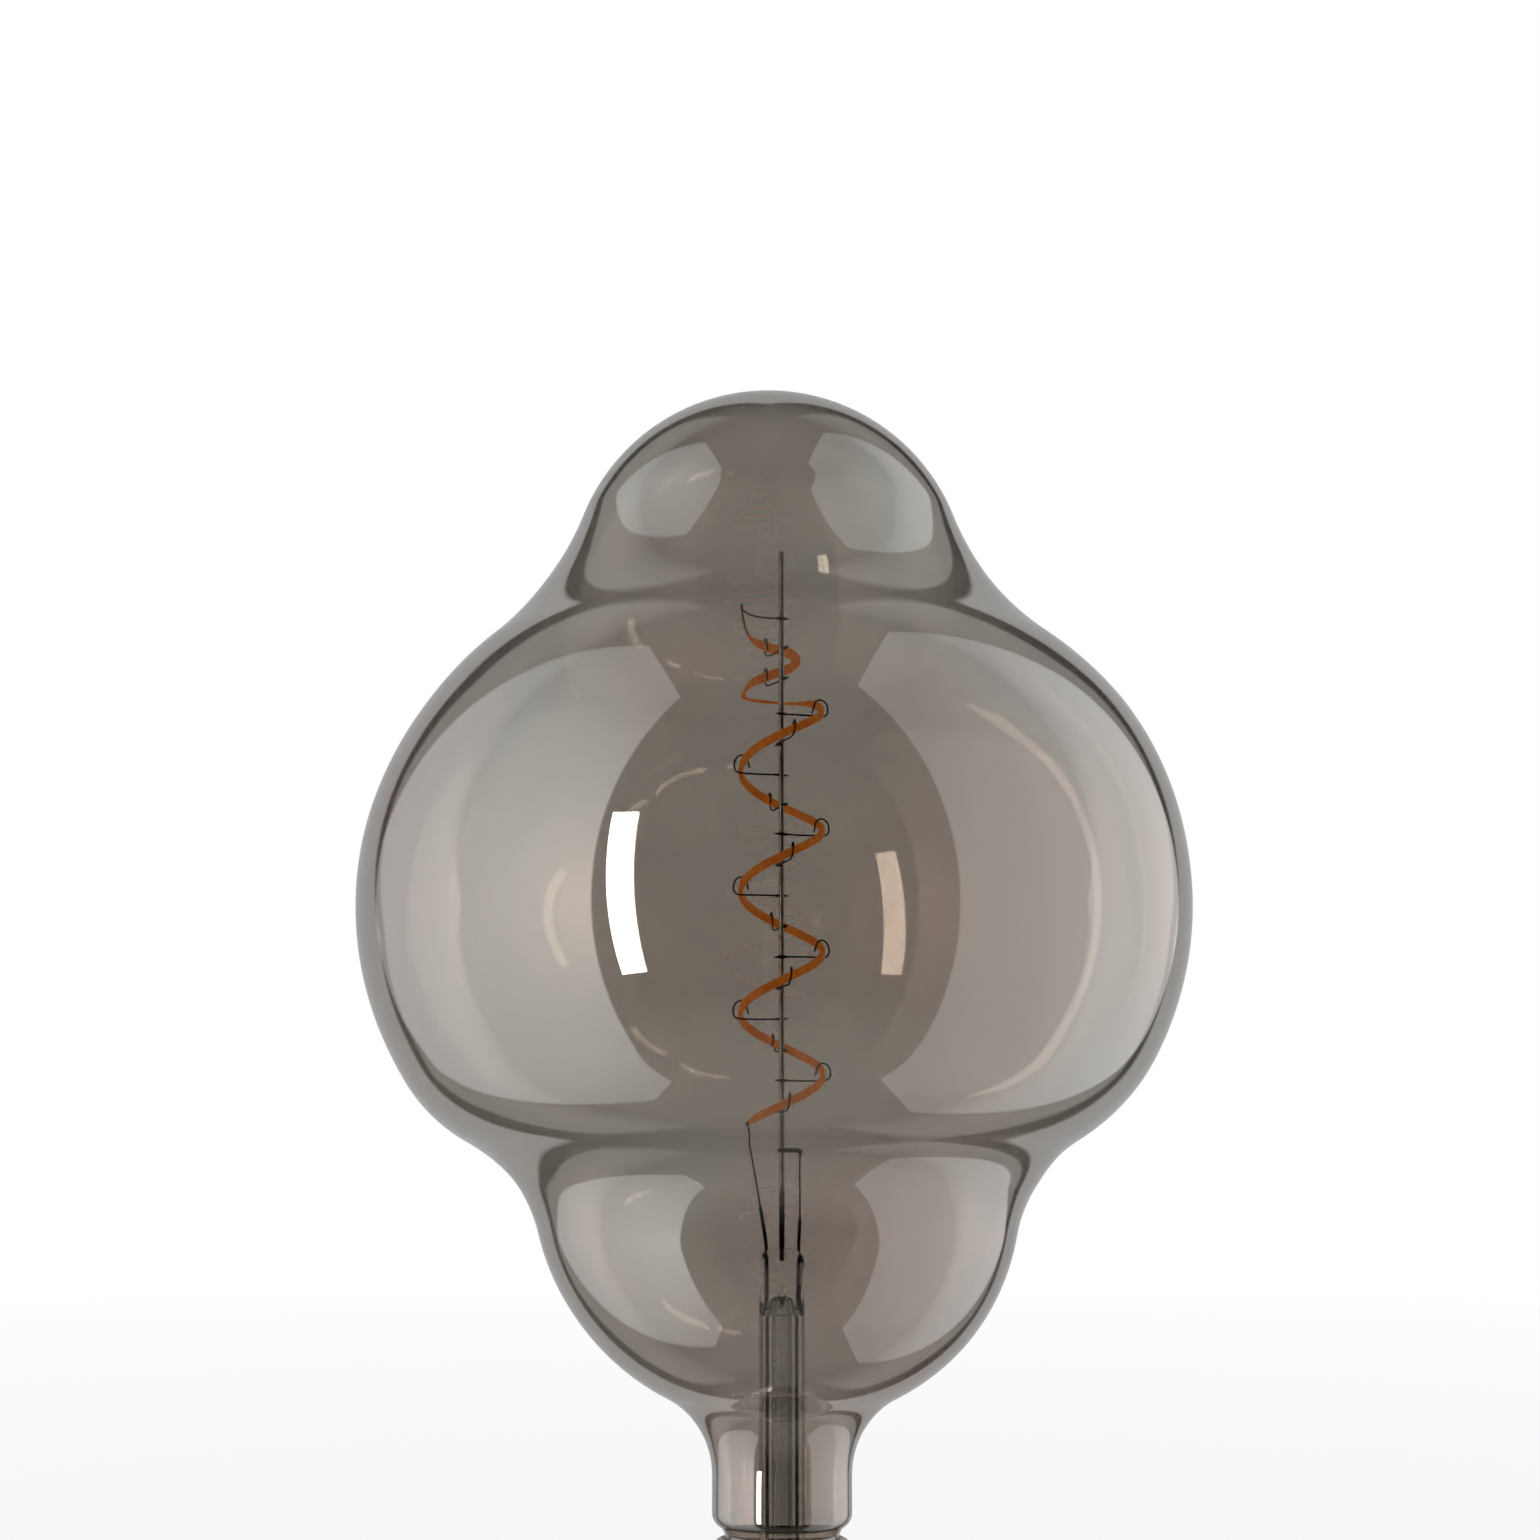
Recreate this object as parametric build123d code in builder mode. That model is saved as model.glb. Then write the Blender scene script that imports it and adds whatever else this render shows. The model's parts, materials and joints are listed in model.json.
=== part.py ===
from build123d import *

import os
from math import atan, cos, pi, radians, sin, sqrt, tan

# A large three-lobed LED filament bulb on a 27 mm screw cap, in millimetres.
# The origin is the underside of the centre contact, on the axis, and +Z runs from the cap to the crown.
# +X is to the right and -Y to the front when the two lead wires are seen side by side.

# Screw cap
cap_height = 27.0
cap_sheet = 0.3
thread_pitch = 25.4 / 7
thread_crest_radius = 13.1
thread_depth = 0.9
thread_fade = 1.6
collar_margin = 0.2
collar_height = 7.6
collar_step_arc = 0.9
rim_flare = 0.6
rim_flare_height = 0.8
curl_radius = 1.8
curl_hole_radius = 9.9
curl_height = 5.8

# Insulator, centre contact and cement
insulator_fit = 0.05
insulator_collar = 1.6
insulator_base = 5.6
insulator_dish_radius = 6.8
nose_radius = 5.0
nose_step = 0.5
wire_hole_radius = 1.2
contact_sheet = 0.4
contact_height = 1.8
contact_corner = 0.9
solder_dome = 0.5
cement_length = 5.6
cement_gap = 1.0
cement_recess = 0.4

# Glass envelope: a dome, a belly and a lower lobe, joined by hollow waists
glass_wall = 0.8
dome_radius = 44.4
belly_radius = 90.0
belly_arc = 71.1
belly_to_dome = 69.95
shoulder_arc = 41.4
shoulder_angle = 31.3
upper_waist_arc = 69.4
lower_waist_arc = 30.1
lobe_radius = 52.1
lobe_arc = 50.0
lobe_to_belly = 59.65
neck_to_lobe = 74.0
neck_radius = 14.7
neck_arc = 18.0
seal_arc = 3.0
seal_depth = 5.5
neck_gap = 0.6

# Glass stem: flare, tube, flat press and the exhaust tube inside it
stem_radius = 4.8
stem_wall = 0.8
flare_arc = 5.5
stem_length = 65.5
press_length = 14.0
press_blend = 4.0
press_thickness = 4.6
press_shoulder = 3.0
press_edge = 1.4
exhaust_radius = 2.2
exhaust_wall = 0.8
exhaust_seat = 3.0
exhaust_tip_gap = 2.6
pump_hole_radius = 0.9

# Support rod and lead wires
rod_radius = 0.6
rod_embed = 2.6
post_radius = 0.4
post_clearance = 0.55
lead_radius = 0.2
left_post_length = 9.4
right_post_length = 6.6
right_entry_shift = 0.4
right_post_shift = 0.7
strap_radius = 0.5
strap_gap = 3.8
strap_overhang = 0.3
strap_drop = 2.8
tail_spread = 5.4
tail_flare_gap = 2.1
tail_bend_gap = 2.8
tail_end = 0.8

# Filament: a flexible coated strip wound in a right-handed coil
strip_height = 1.8
strip_thickness = 1.1
strip_corner = 0.35
coil_radius = 9.0
coil_pitch = 26.7
coil_turns = 3.443
coil_top_angle = 18.0
coil_foot_gap = 25.92
coil_top_gap = 34.15

# The strip's loose top end, above the last regular hook. Each place is how far it stands outside
# the coil, its angle, and its rise above the coil's top. Two of them lie in the two top hooks.
top_hook_angle = 113.0
upper_hook_rise = 15.2
lower_hook_rise = 8.3
top_end_route = [
    (1.2, 79.0, 2.3),
    (0.6, 119.0, 2.6),
    (0.8, 161.0, 2.2),
    (-0.3, 144.0, 6.1),
    (0.25, top_hook_angle, lower_hook_rise),
    (1.6, 69.5, 11.0),
    (1.1, 73.4, 14.1),
    (0.45, top_hook_angle, upper_hook_rise),
    (0.05, 156.6, 16.7),
    (-0.1, 177.4, 22.6),
]
first_run = 4.4
bend_share = 0.45
clip_wall = 0.25
clip_length = 1.9
clip_cap = 0.8

# Hooked support wires, welded across the rod
hook_wire_radius = 0.2
hook_count = 14
hook_step = 90.6
hook_slack = 0.8
hook_side_gap = 0.4
hook_crown_gap = 0.3
hook_lean = 1.0
hook_prong = 2.5
hook_bend = 0.7
hook_crown = 1.1
stub_length = 0.7
weld_radius = 0.42
weld_depth = 0.1
top_wire_gap = 14.4
top_wire_turn = 2.6

# Driver board in the cap
board_radius = 9.4
board_thickness = 1.2
board_gap = 3.4
board_hole_fit = 0.05
bridge_size = (4.7, 3.9, 2.4)
bridge_offset = 6.0
chip_size = (4.5, 2.5, 1.5)
chip_offset = 6.2
leg_size = (0.6, 1.0, 0.25)
leg_lift = 0.05
capacitor_size = (7.0, 2.6, 4.4)
capacitor_offset = 4.4
resistor_radius = 1.1
resistor_length = 5.6
resistor_offset = 4.6
resistor_standoff = 0.4
resistor_lead_radius = 0.25
resistor_reach = 4.3
hookup_radius = 0.25
shell_wire_hole = 7.6
shell_wire_rise = 4.0
shell_wire_lap = 3.4
hookup_tail = 0.8

# Places worked out from the sizes
thread_root_radius = thread_crest_radius - thread_depth
collar_radius = thread_crest_radius + collar_margin
collar_start = cap_height - collar_height
plug_curl = curl_radius - cap_sheet - insulator_fit
shelf_top = curl_height + cap_sheet + insulator_fit
insulator_rim = shelf_top + plug_curl + insulator_collar
board_height = insulator_rim + board_gap
board_top = board_height + board_thickness
seal_radius = collar_radius - cap_sheet - cement_gap
seal_height = cap_height - seal_depth
lobe_height = cap_height + neck_to_lobe
belly_height = lobe_height + lobe_to_belly
dome_height = belly_height + belly_to_dome
bulb_top = dome_height + dome_radius
press_top = seal_height + stem_length
press_base = press_top - press_length
exhaust_top = press_base + exhaust_seat
post_spread = exhaust_radius + post_radius + post_clearance
right_entry_spread = post_spread + right_entry_shift
right_post_spread = post_spread + right_post_shift
strip_slope = atan(coil_pitch / (2 * pi * coil_radius))
strip_reach = strip_height / 2 / cos(strip_slope)
coil_height = coil_pitch * coil_turns
coil_foot_height = press_top + coil_foot_gap
coil_top_height = coil_foot_height + coil_height
coil_foot_angle = coil_top_angle - 360 * coil_turns
rod_top = coil_top_height + coil_top_gap
strap_height = coil_foot_height - strap_gap
hook_drop = hook_slack + strip_reach + hook_wire_radius
hook_half_width = strip_thickness / 2 + hook_side_gap + hook_wire_radius
hook_height = hook_drop + strip_reach + hook_crown_gap + hook_wire_radius
top_wire_height = rod_top - top_wire_gap


def polar(radius, angle, height):
    return Vector(radius * cos(radians(angle)), radius * sin(radians(angle)), height)


def circle_crossing(first, first_radius, second, second_radius):
    # The outer of the two points at the given distances from two centres in the section plane.
    span = second - first
    along = (span.length**2 + first_radius**2 - second_radius**2) / (2 * span.length)
    across = sqrt(first_radius**2 - along**2)
    side = Vector(-span.Y, span.X) / span.length
    foot = first + span * (along / span.length)
    return max(foot + side * across, foot - side * across, key=lambda point: point.X)


def touch(center, radius, other, other_radius):
    # Where two outer circles touch, on the line between their centres.
    return center + (other - center) * (radius / (radius + other_radius))


def bend_radii(points):
    # The largest arcs that the runs beside each bend leave room for.
    radii = []
    for before, corner, after in zip(points, points[1:], points[2:]):
        runs = (corner - before, after - corner)
        half_turn = radians(runs[0].get_angle(runs[1])) / 2
        radii.append(bend_share * min(run.length for run in runs) / tan(half_turn))
    return radii


def wire_solid(points, radius, bends):
    # A round wire along straight runs joined by tangent arcs.
    with BuildPart() as wire:
        with BuildLine() as route:
            if len(points) == 2:
                Line(*points)
            else:
                FilletPolyline(*points, radius=bends)
        with BuildSketch(Plane(origin=route.line @ 0, z_dir=route.line % 0)):
            Circle(radius)
        sweep(path=route.wires()[0])
    return wire.part


pieces = []


def keep(part, label):
    part.label = label
    pieces.append(part)


# Glass envelope, one blown piece of even wall

dome_center = Vector(0, dome_height)
belly_center = Vector(belly_radius - belly_arc, belly_height)
shoulder_way = Vector(cos(radians(shoulder_angle)), -sin(radians(shoulder_angle)))
shoulder_center = belly_center + shoulder_way * (belly_arc - shoulder_arc)
lobe_center = Vector(lobe_radius - lobe_arc, lobe_height)
upper_waist_center = circle_crossing(
    dome_center, dome_radius + upper_waist_arc, belly_center, belly_arc + upper_waist_arc
)
lower_waist_center = circle_crossing(
    shoulder_center, shoulder_arc + lower_waist_arc, lobe_center, lobe_arc + lower_waist_arc
)
neck_drop = sqrt((lobe_arc + neck_arc) ** 2 - (neck_radius + neck_arc - lobe_center.X) ** 2)
neck_arc_center = Vector(neck_radius + neck_arc, lobe_height - neck_drop)
seal_turn = sqrt(seal_arc**2 - (seal_arc - (neck_radius - seal_radius) / 2) ** 2)
seal_start = cap_height + neck_gap + 2 * seal_turn
seal_middle = Vector((neck_radius + seal_radius) / 2, seal_start - seal_turn)

with BuildPart() as glass_envelope:
    with BuildSketch(Plane.XZ):
        with BuildLine():
            dome = TangentArc(
                (0, bulb_top),
                touch(dome_center, dome_radius, upper_waist_center, upper_waist_arc),
                tangent=(1, 0),
            )
            upper_waist = TangentArc(
                dome @ 1,
                touch(belly_center, belly_arc, upper_waist_center, upper_waist_arc),
                tangent=dome % 1,
            )
            belly = TangentArc(
                upper_waist @ 1, belly_center + shoulder_way * belly_arc, tangent=upper_waist % 1
            )
            shoulder = TangentArc(
                belly @ 1,
                touch(shoulder_center, shoulder_arc, lower_waist_center, lower_waist_arc),
                tangent=belly % 1,
            )
            lower_waist = TangentArc(
                shoulder @ 1,
                touch(lobe_center, lobe_arc, lower_waist_center, lower_waist_arc),
                tangent=shoulder % 1,
            )
            lobe = TangentArc(
                lower_waist @ 1,
                touch(lobe_center, lobe_arc, neck_arc_center, neck_arc),
                tangent=lower_waist % 1,
            )
            neck_curve = TangentArc(lobe @ 1, (neck_radius, neck_arc_center.Y), tangent=lobe % 1)
            neck = Line(neck_curve @ 1, (neck_radius, seal_start))
            seal_outer = TangentArc(neck @ 1, seal_middle, tangent=(0, -1))
            seal_inner = TangentArc(
                seal_middle, (seal_radius, cap_height + neck_gap), tangent=seal_outer % 1
            )
            Line(seal_inner @ 1, (seal_radius, seal_height))
            offset(amount=glass_wall, side=Side.RIGHT)
        make_face()
    revolve(axis=Axis.Z)
keep(glass_envelope.part, "glass_envelope")


# Exhaust tube, sealed off at its lower tip

with BuildPart() as exhaust_tube:
    tip_center = board_top + exhaust_tip_gap + exhaust_radius
    with Locations((0, 0, tip_center)):
        Sphere(exhaust_radius)
    with BuildSketch(Plane.XY.offset(tip_center)):
        Circle(exhaust_radius)
    extrude(amount=exhaust_top - tip_center)
    with BuildSketch(Plane.XY.offset(tip_center)):
        Circle(exhaust_radius - exhaust_wall)
    extrude(amount=exhaust_top - tip_center, mode=Mode.SUBTRACT)
keep(exhaust_tube.part, "exhaust_tube")


# Support rod, standing in the press

with BuildPart() as support_rod:
    with BuildSketch(Plane.XY.offset(press_top - rod_embed)):
        Circle(rod_radius)
    extrude(amount=rod_top - press_top + rod_embed)
    chamfer(support_rod.faces().sort_by(Axis.Z)[-1].edges(), rod_radius / 4)
keep(support_rod.part, "support_rod")


# Filament: the regular coil, then the loose top end

coil_foot = polar(coil_radius, coil_foot_angle, coil_foot_height)
coil_top = polar(coil_radius, coil_top_angle, coil_top_height)
coil_top_way = Vector(
    -cos(strip_slope) * sin(radians(coil_top_angle)),
    cos(strip_slope) * cos(radians(coil_top_angle)),
    sin(strip_slope),
)
top_route = [coil_top, coil_top + coil_top_way * first_run]
for outside, angle, rise in top_end_route:
    top_route.append(polar(coil_radius + outside, angle, coil_top_height + rise))


with BuildPart() as regular_coil:
    with BuildLine() as coil_path:
        Helix(coil_pitch, coil_height, coil_radius, center=(0, 0, coil_foot_height))
    with BuildSketch(
        Plane(origin=coil_path.line @ 0, x_dir=(1, 0, 0), z_dir=coil_path.line % 0)
    ):
        RectangleRounded(strip_thickness, strip_height, strip_corner)
    sweep(path=coil_path.wires()[0], is_frenet=True)

with BuildPart() as led_filament:
    add(regular_coil.part.rotate(Axis.Z, coil_foot_angle))
    with BuildLine() as top_end_path:
        FilletPolyline(*top_route, radius=bend_radii(top_route))
    with BuildSketch(Plane(origin=coil_top, x_dir=polar(1, coil_top_angle, 0), z_dir=coil_top_way)):
        RectangleRounded(strip_thickness, strip_height, strip_corner)
    sweep(path=top_end_path.wires()[0])
keep(led_filament.part, "led_filament")


# Crimped end clips, one on each end of the strip

def crimp_clip(end, way):
    with BuildPart() as clip:
        with BuildSketch(Plane(origin=end - way * clip_length, z_dir=way)):
            Circle(strip_height / 2 + clip_wall)
        extrude(amount=clip_length + clip_cap)
        add(led_filament.part, mode=Mode.SUBTRACT)
        chamfer(clip.faces().sort_by(Axis(end, way))[-1].edges(), clip_wall)
    return clip.part


coil_foot_way = Vector(
    cos(strip_slope) * sin(radians(coil_foot_angle)),
    -cos(strip_slope) * cos(radians(coil_foot_angle)),
    -sin(strip_slope),
)
strip_end = top_route[-1]
strip_end_way = (top_route[-1] - top_route[-2]).normalized()
bottom_clip = crimp_clip(coil_foot, coil_foot_way)
top_clip = crimp_clip(strip_end, strip_end_way)
keep(bottom_clip, "filament_clip_bottom")
keep(top_clip, "filament_clip_top")


# Support wires, each with a weld bead against the rod

weld_side = rod_radius + hook_wire_radius
outer_leg = coil_radius + hook_half_width
inner_leg = coil_radius - hook_half_width
prong_side = hook_lean - weld_side
hook_route = [
    Vector(-rod_radius - stub_length, -weld_side, 0),
    Vector(outer_leg, -weld_side, 0),
    Vector(outer_leg, -weld_side, hook_height),
    Vector(inner_leg, prong_side, hook_height),
    Vector(inner_leg, prong_side, hook_height - hook_prong),
]


def welded(wire, height):
    with BuildPart() as joined:
        add(wire)
        with Locations((0, weld_depth - weld_side, height)):
            Sphere(weld_radius)
        with BuildSketch(Plane.XY.offset(height - 2 * weld_radius)):
            Circle(rod_radius)
        extrude(amount=4 * weld_radius, mode=Mode.SUBTRACT)
    return joined.part


hook = welded(wire_solid(hook_route, hook_wire_radius, [hook_bend, hook_crown, hook_crown]), 0)

top_wire_route = [
    Vector(rod_radius + stub_length, -weld_side, top_wire_height),
    Vector(top_wire_turn - coil_radius, -weld_side, top_wire_height),
    strip_end,
]
with BuildPart() as top_wire:
    top_wire_body = wire_solid(top_wire_route, hook_wire_radius, bend_radii(top_wire_route))
    add(welded(top_wire_body, top_wire_height))
    add(top_clip, mode=Mode.SUBTRACT)
    add(led_filament.part, mode=Mode.SUBTRACT)
keep(top_wire.part, "support_wire_01")

hook_places = [(top_hook_angle, upper_hook_rise), (top_hook_angle, lower_hook_rise)]
for place in range(hook_count):
    hook_places.append((coil_top_angle - hook_step * place, -coil_pitch * hook_step * place / 360))
for number, (angle, rise) in enumerate(hook_places, start=2):
    lift = Location((0, 0, coil_top_height + rise - hook_drop))
    keep(hook.rotate(Axis.Z, angle).moved(lift), f"support_wire_{number:02d}")


# Lead wires: thick posts held by the press, thin wires above them, tails down to the board

def tail(side, spread):
    return [
        Vector(side * spread, 0, press_base),
        Vector(side * spread, 0, seal_height - tail_flare_gap),
        Vector(side * tail_spread, 0, board_top + tail_bend_gap),
        Vector(side * tail_spread, 0, board_height - tail_end),
    ]


left_entry = Vector(-post_spread, 0, press_top)
clip_middle = coil_foot + coil_foot_way * (clip_cap / 2)
left_way = (clip_middle - left_entry).normalized()
left_post_top = left_entry + left_way * left_post_length
left_route = [left_post_top, left_entry] + tail(-1, post_spread)[1:]
right_post_top = Vector(right_post_spread, 0, press_top + right_post_length)
right_route = [right_post_top, Vector(right_entry_spread, 0, press_top)] + tail(1, post_spread)
left_post = wire_solid(left_route, post_radius, bend_radii(left_route))
right_post = wire_solid(right_route, post_radius, bend_radii(right_route))
keep(left_post, "lead_post_left")
keep(right_post, "lead_post_right")

with BuildPart() as left_wire:
    add(wire_solid([left_post_top, clip_middle], lead_radius, []))
    add(bottom_clip, mode=Mode.SUBTRACT)
    add(led_filament.part, mode=Mode.SUBTRACT)
keep(left_wire.part.solids().sort_by(Axis.Z)[0], "lead_wire_left")

strap_side = rod_radius + strap_radius
strap_end = Vector(right_post_spread, 0, strap_height - strap_drop)
strap_route = [
    Vector(-rod_radius - strap_overhang, -strap_side, strap_height),
    Vector(right_post_spread, -strap_side, strap_height),
    strap_end,
]
keep(wire_solid(strap_route, strap_radius, bend_radii(strap_route)), "rod_strap")
keep(wire_solid([strap_end, right_post_top], lead_radius, []), "lead_wire_right")


# Glass stem: flared tube pressed flat round the rod, the posts and the exhaust tube

with BuildPart() as press_plate:
    with BuildSketch(Plane.XZ) as press_face:
        with Locations((0, press_base + press_blend)):
            Rectangle(2 * stem_radius, press_length - press_blend, align=(Align.CENTER, Align.MIN))
        fillet(press_face.vertices().group_by(Axis.Y)[-1], press_shoulder)
    extrude(amount=press_thickness / 2, both=True)
    faces = press_plate.faces().sort_by(Axis.Y)
    rims = faces[0].edges() + faces[-1].edges()
    fillet([rim for rim in rims if rim.center().Z > press_base + press_blend + 0.01], press_edge)

with BuildPart() as stem_glass:
    with BuildSketch(Plane.XZ):
        with BuildLine():
            flare_rim = Line((seal_radius, seal_height), (stem_radius + flare_arc, seal_height))
            flare = TangentArc(
                flare_rim @ 1, (stem_radius, seal_height + flare_arc), tangent=(-1, 0)
            )
            Line(flare @ 1, (stem_radius, press_base))
            offset(amount=stem_wall, side=Side.LEFT)
        make_face()
    revolve(axis=Axis.Z)
    with BuildSketch(Plane.XY.offset(press_base)):
        Circle(stem_radius)
    with BuildSketch(Plane.XY.offset(press_base + press_blend)):
        RectangleRounded(2 * stem_radius, press_thickness, press_edge)
    loft()
    add(press_plate.part)
    with BuildSketch(Plane.XY.offset(press_base)):
        Circle(exhaust_radius)
    extrude(amount=exhaust_seat, mode=Mode.SUBTRACT)
    with Locations(Location((0, 0, exhaust_top), (45, 0, 0))):
        Cylinder(
            pump_hole_radius,
            press_thickness,
            align=(Align.CENTER, Align.CENTER, Align.MIN),
            mode=Mode.SUBTRACT,
        )
    for held in (support_rod.part, left_post, right_post):
        add(held, mode=Mode.SUBTRACT)
keep(stem_glass.part, "stem_glass")


# Screw cap: one formed sheet with a rolled knuckle thread

knuckle_arc = (thread_pitch**2 / 4 + thread_depth**2) / (4 * thread_depth)
thread_start = curl_height + curl_radius
step_rise = sqrt(collar_step_arc**2 - (collar_step_arc - (collar_radius - thread_root_radius) / 2) ** 2)
thread_end = collar_start - 2 * step_rise
thread_seam = thread_pitch / 40


def knuckle_ridge(inset, foot_depth):
    # The thread's ridge, drawn inset from the outer face, with its foot sunk below the root.
    crest_center = Vector(thread_crest_radius - knuckle_arc, 0)
    root_center = Vector(thread_root_radius + knuckle_arc, thread_pitch / 2)
    flank = touch(crest_center, knuckle_arc - inset, root_center, knuckle_arc + inset)
    root_reach = sqrt((knuckle_arc + inset) ** 2 - thread_seam**2)
    shore = Vector(root_center.X - root_reach, thread_pitch / 2 - thread_seam)
    foot = thread_root_radius - inset - foot_depth
    bottom = thread_start - thread_pitch / 2
    with BuildPart() as ridge:
        with BuildLine() as lead:
            Helix(
                thread_pitch,
                thread_end - thread_start + thread_pitch,
                thread_root_radius,
                center=(0, 0, bottom),
            )
        with BuildSketch(Plane(origin=(0, 0, bottom), x_dir=(1, 0, 0), z_dir=(0, -1, 0))):
            with BuildLine():
                crest = ThreePointArc(
                    (flank.X, -flank.Y), (thread_crest_radius - inset, 0), (flank.X, flank.Y)
                )
                upper = TangentArc(crest @ 1, shore, tangent=crest % 1)
                lower = TangentArc(
                    crest @ 0, (shore.X, -shore.Y), tangent=(crest % 0) * -1
                )
                Line(upper @ 1, (foot, shore.Y))
                Line((foot, shore.Y), (foot, -shore.Y))
                Line((foot, -shore.Y), lower @ 1)
            make_face()
        sweep(path=lead.wires()[0], is_frenet=True)
        with BuildSketch(Plane.XZ):
            with BuildLine():
                Polyline(
                    (0, thread_start),
                    (thread_root_radius - inset, thread_start),
                    (thread_crest_radius + cap_sheet, thread_start + thread_fade),
                    (thread_crest_radius + cap_sheet, thread_end - thread_fade),
                    (thread_root_radius - inset, thread_end),
                    (0, thread_end),
                    close=True,
                )
            make_face()
        revolve(axis=Axis.Z, mode=Mode.INTERSECT)
    return ridge.part


with BuildPart() as cap_shell:
    with BuildSketch(Plane.XZ):
        with BuildLine():
            shelf = Line((curl_hole_radius, curl_height), (thread_root_radius - curl_radius, curl_height))
            curl = TangentArc(shelf @ 1, (thread_root_radius, thread_start), tangent=(1, 0))
            root_wall = Line(curl @ 1, (thread_root_radius, thread_end))
            step_middle = Vector((thread_root_radius + collar_radius) / 2, thread_end + step_rise)
            step_out = TangentArc(root_wall @ 1, step_middle, tangent=(0, 1))
            step_up = TangentArc(step_out @ 1, (collar_radius, collar_start), tangent=step_out % 1)
            collar = Line(step_up @ 1, (collar_radius, cap_height - rim_flare_height))
            Line(collar @ 1, (collar_radius + rim_flare, cap_height))
            offset(amount=cap_sheet, side=Side.LEFT)
        make_face()
    revolve(axis=Axis.Z)
    add(knuckle_ridge(0, cap_sheet / 2))
    add(knuckle_ridge(cap_sheet, cap_sheet), mode=Mode.SUBTRACT)
keep(cap_shell.part, "cap_shell")


# Insulator: moulded glass, seated in the rolled lower edge of the shell

with BuildPart() as cap_insulator:
    plug_radius = thread_root_radius - cap_sheet - insulator_fit
    floor_height = contact_sheet + insulator_base
    throat_radius = curl_hole_radius - insulator_fit
    with BuildSketch(Plane.XZ):
        with BuildLine():
            base = Polyline(
                (wire_hole_radius, contact_sheet),
                (nose_radius, contact_sheet),
                (nose_radius, contact_height),
                (nose_radius + nose_step, contact_height),
                (throat_radius, curl_height),
                (throat_radius, shelf_top),
                (plug_radius - plug_curl, shelf_top),
            )
            corner = TangentArc(base @ 1, (plug_radius, shelf_top + plug_curl), tangent=(1, 0))
            Polyline(
                corner @ 1,
                (plug_radius, insulator_rim),
                (throat_radius, insulator_rim),
                (insulator_dish_radius, floor_height),
                (wire_hole_radius, floor_height),
                (wire_hole_radius, contact_sheet),
            )
        make_face()
    revolve(axis=Axis.Z)
keep(cap_insulator.part, "cap_insulator")


# Centre contact: a stamped cup over the insulator's nose, with the solder that fills its hole

with BuildPart() as centre_contact:
    cup_radius = nose_radius + insulator_fit + contact_sheet
    with BuildSketch(Plane.XY):
        Circle(cup_radius)
    extrude(amount=contact_height)
    fillet(centre_contact.faces().sort_by(Axis.Z)[0].edges(), contact_corner)
    with BuildSketch(Plane.XY.offset(contact_sheet)):
        Circle(nose_radius + insulator_fit)
    extrude(amount=contact_height, mode=Mode.SUBTRACT)
    with BuildSketch(Plane.XY):
        Circle(wire_hole_radius)
    extrude(amount=contact_sheet, mode=Mode.SUBTRACT)
keep(centre_contact.part, "centre_contact")

with BuildPart() as contact_wire:
    with BuildSketch(Plane.XY.offset(contact_sheet)):
        Circle(hookup_radius)
    extrude(amount=board_top + hookup_tail - contact_sheet)

with BuildPart() as contact_solder:
    with BuildSketch(Plane.XY):
        Circle(wire_hole_radius)
    extrude(amount=contact_sheet + solder_dome)
    fillet(contact_solder.faces().sort_by(Axis.Z)[-1].edges(), solder_dome)
    add(contact_wire.part, mode=Mode.SUBTRACT)
keep(contact_wire.part, "contact_wire")
keep(contact_solder.part, "contact_solder")


# Driver board, hung on the tails of the two posts

with BuildPart() as driver_board:
    with BuildSketch(Plane.XY.offset(board_height)):
        Circle(board_radius)
        for spot, wire_radius in (
            ((-tail_spread, 0), post_radius),
            ((tail_spread, 0), post_radius),
            ((0, 0), hookup_radius),
            ((shell_wire_hole, 0), hookup_radius),
            ((-resistor_reach, resistor_offset), resistor_lead_radius),
            ((resistor_reach, resistor_offset), resistor_lead_radius),
        ):
            with Locations(spot):
                Circle(wire_radius + board_hole_fit, mode=Mode.SUBTRACT)
    extrude(amount=board_thickness)
keep(driver_board.part, "driver_board")


def legged_body(size, offset, legs_per_side):
    # A moulded component body on folded legs along its two long sides.
    length, width, height = size
    leg_width, leg_reach, leg_sheet = leg_size
    body_lift = leg_sheet + leg_lift
    with BuildPart() as body:
        with Locations((0, offset, board_top + body_lift)):
            Box(length, width, height - body_lift, align=(Align.CENTER, Align.CENTER, Align.MIN))
        chamfer(body.faces().sort_by(Axis.Z)[-1].edges(), leg_sheet)
        leg_pitch = length / legs_per_side
        for side in (-1, 1):
            with Locations((0, offset + side * (width + leg_reach) / 2, board_top)):
                with GridLocations(leg_pitch, 0, legs_per_side, 1):
                    Box(leg_width, leg_reach, leg_sheet, align=(Align.CENTER, Align.CENTER, Align.MIN))
            with Locations((0, offset + side * (width + leg_sheet) / 2, board_top)):
                with GridLocations(leg_pitch, 0, legs_per_side, 1):
                    Box(
                        leg_width,
                        leg_sheet,
                        height / 2 + leg_sheet / 2,
                        align=(Align.CENTER, Align.CENTER, Align.MIN),
                    )
    return body.part


keep(legged_body(bridge_size, bridge_offset, 2), "bridge_rectifier")
keep(legged_body(chip_size, -chip_offset, 3), "regulator_chip")

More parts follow.
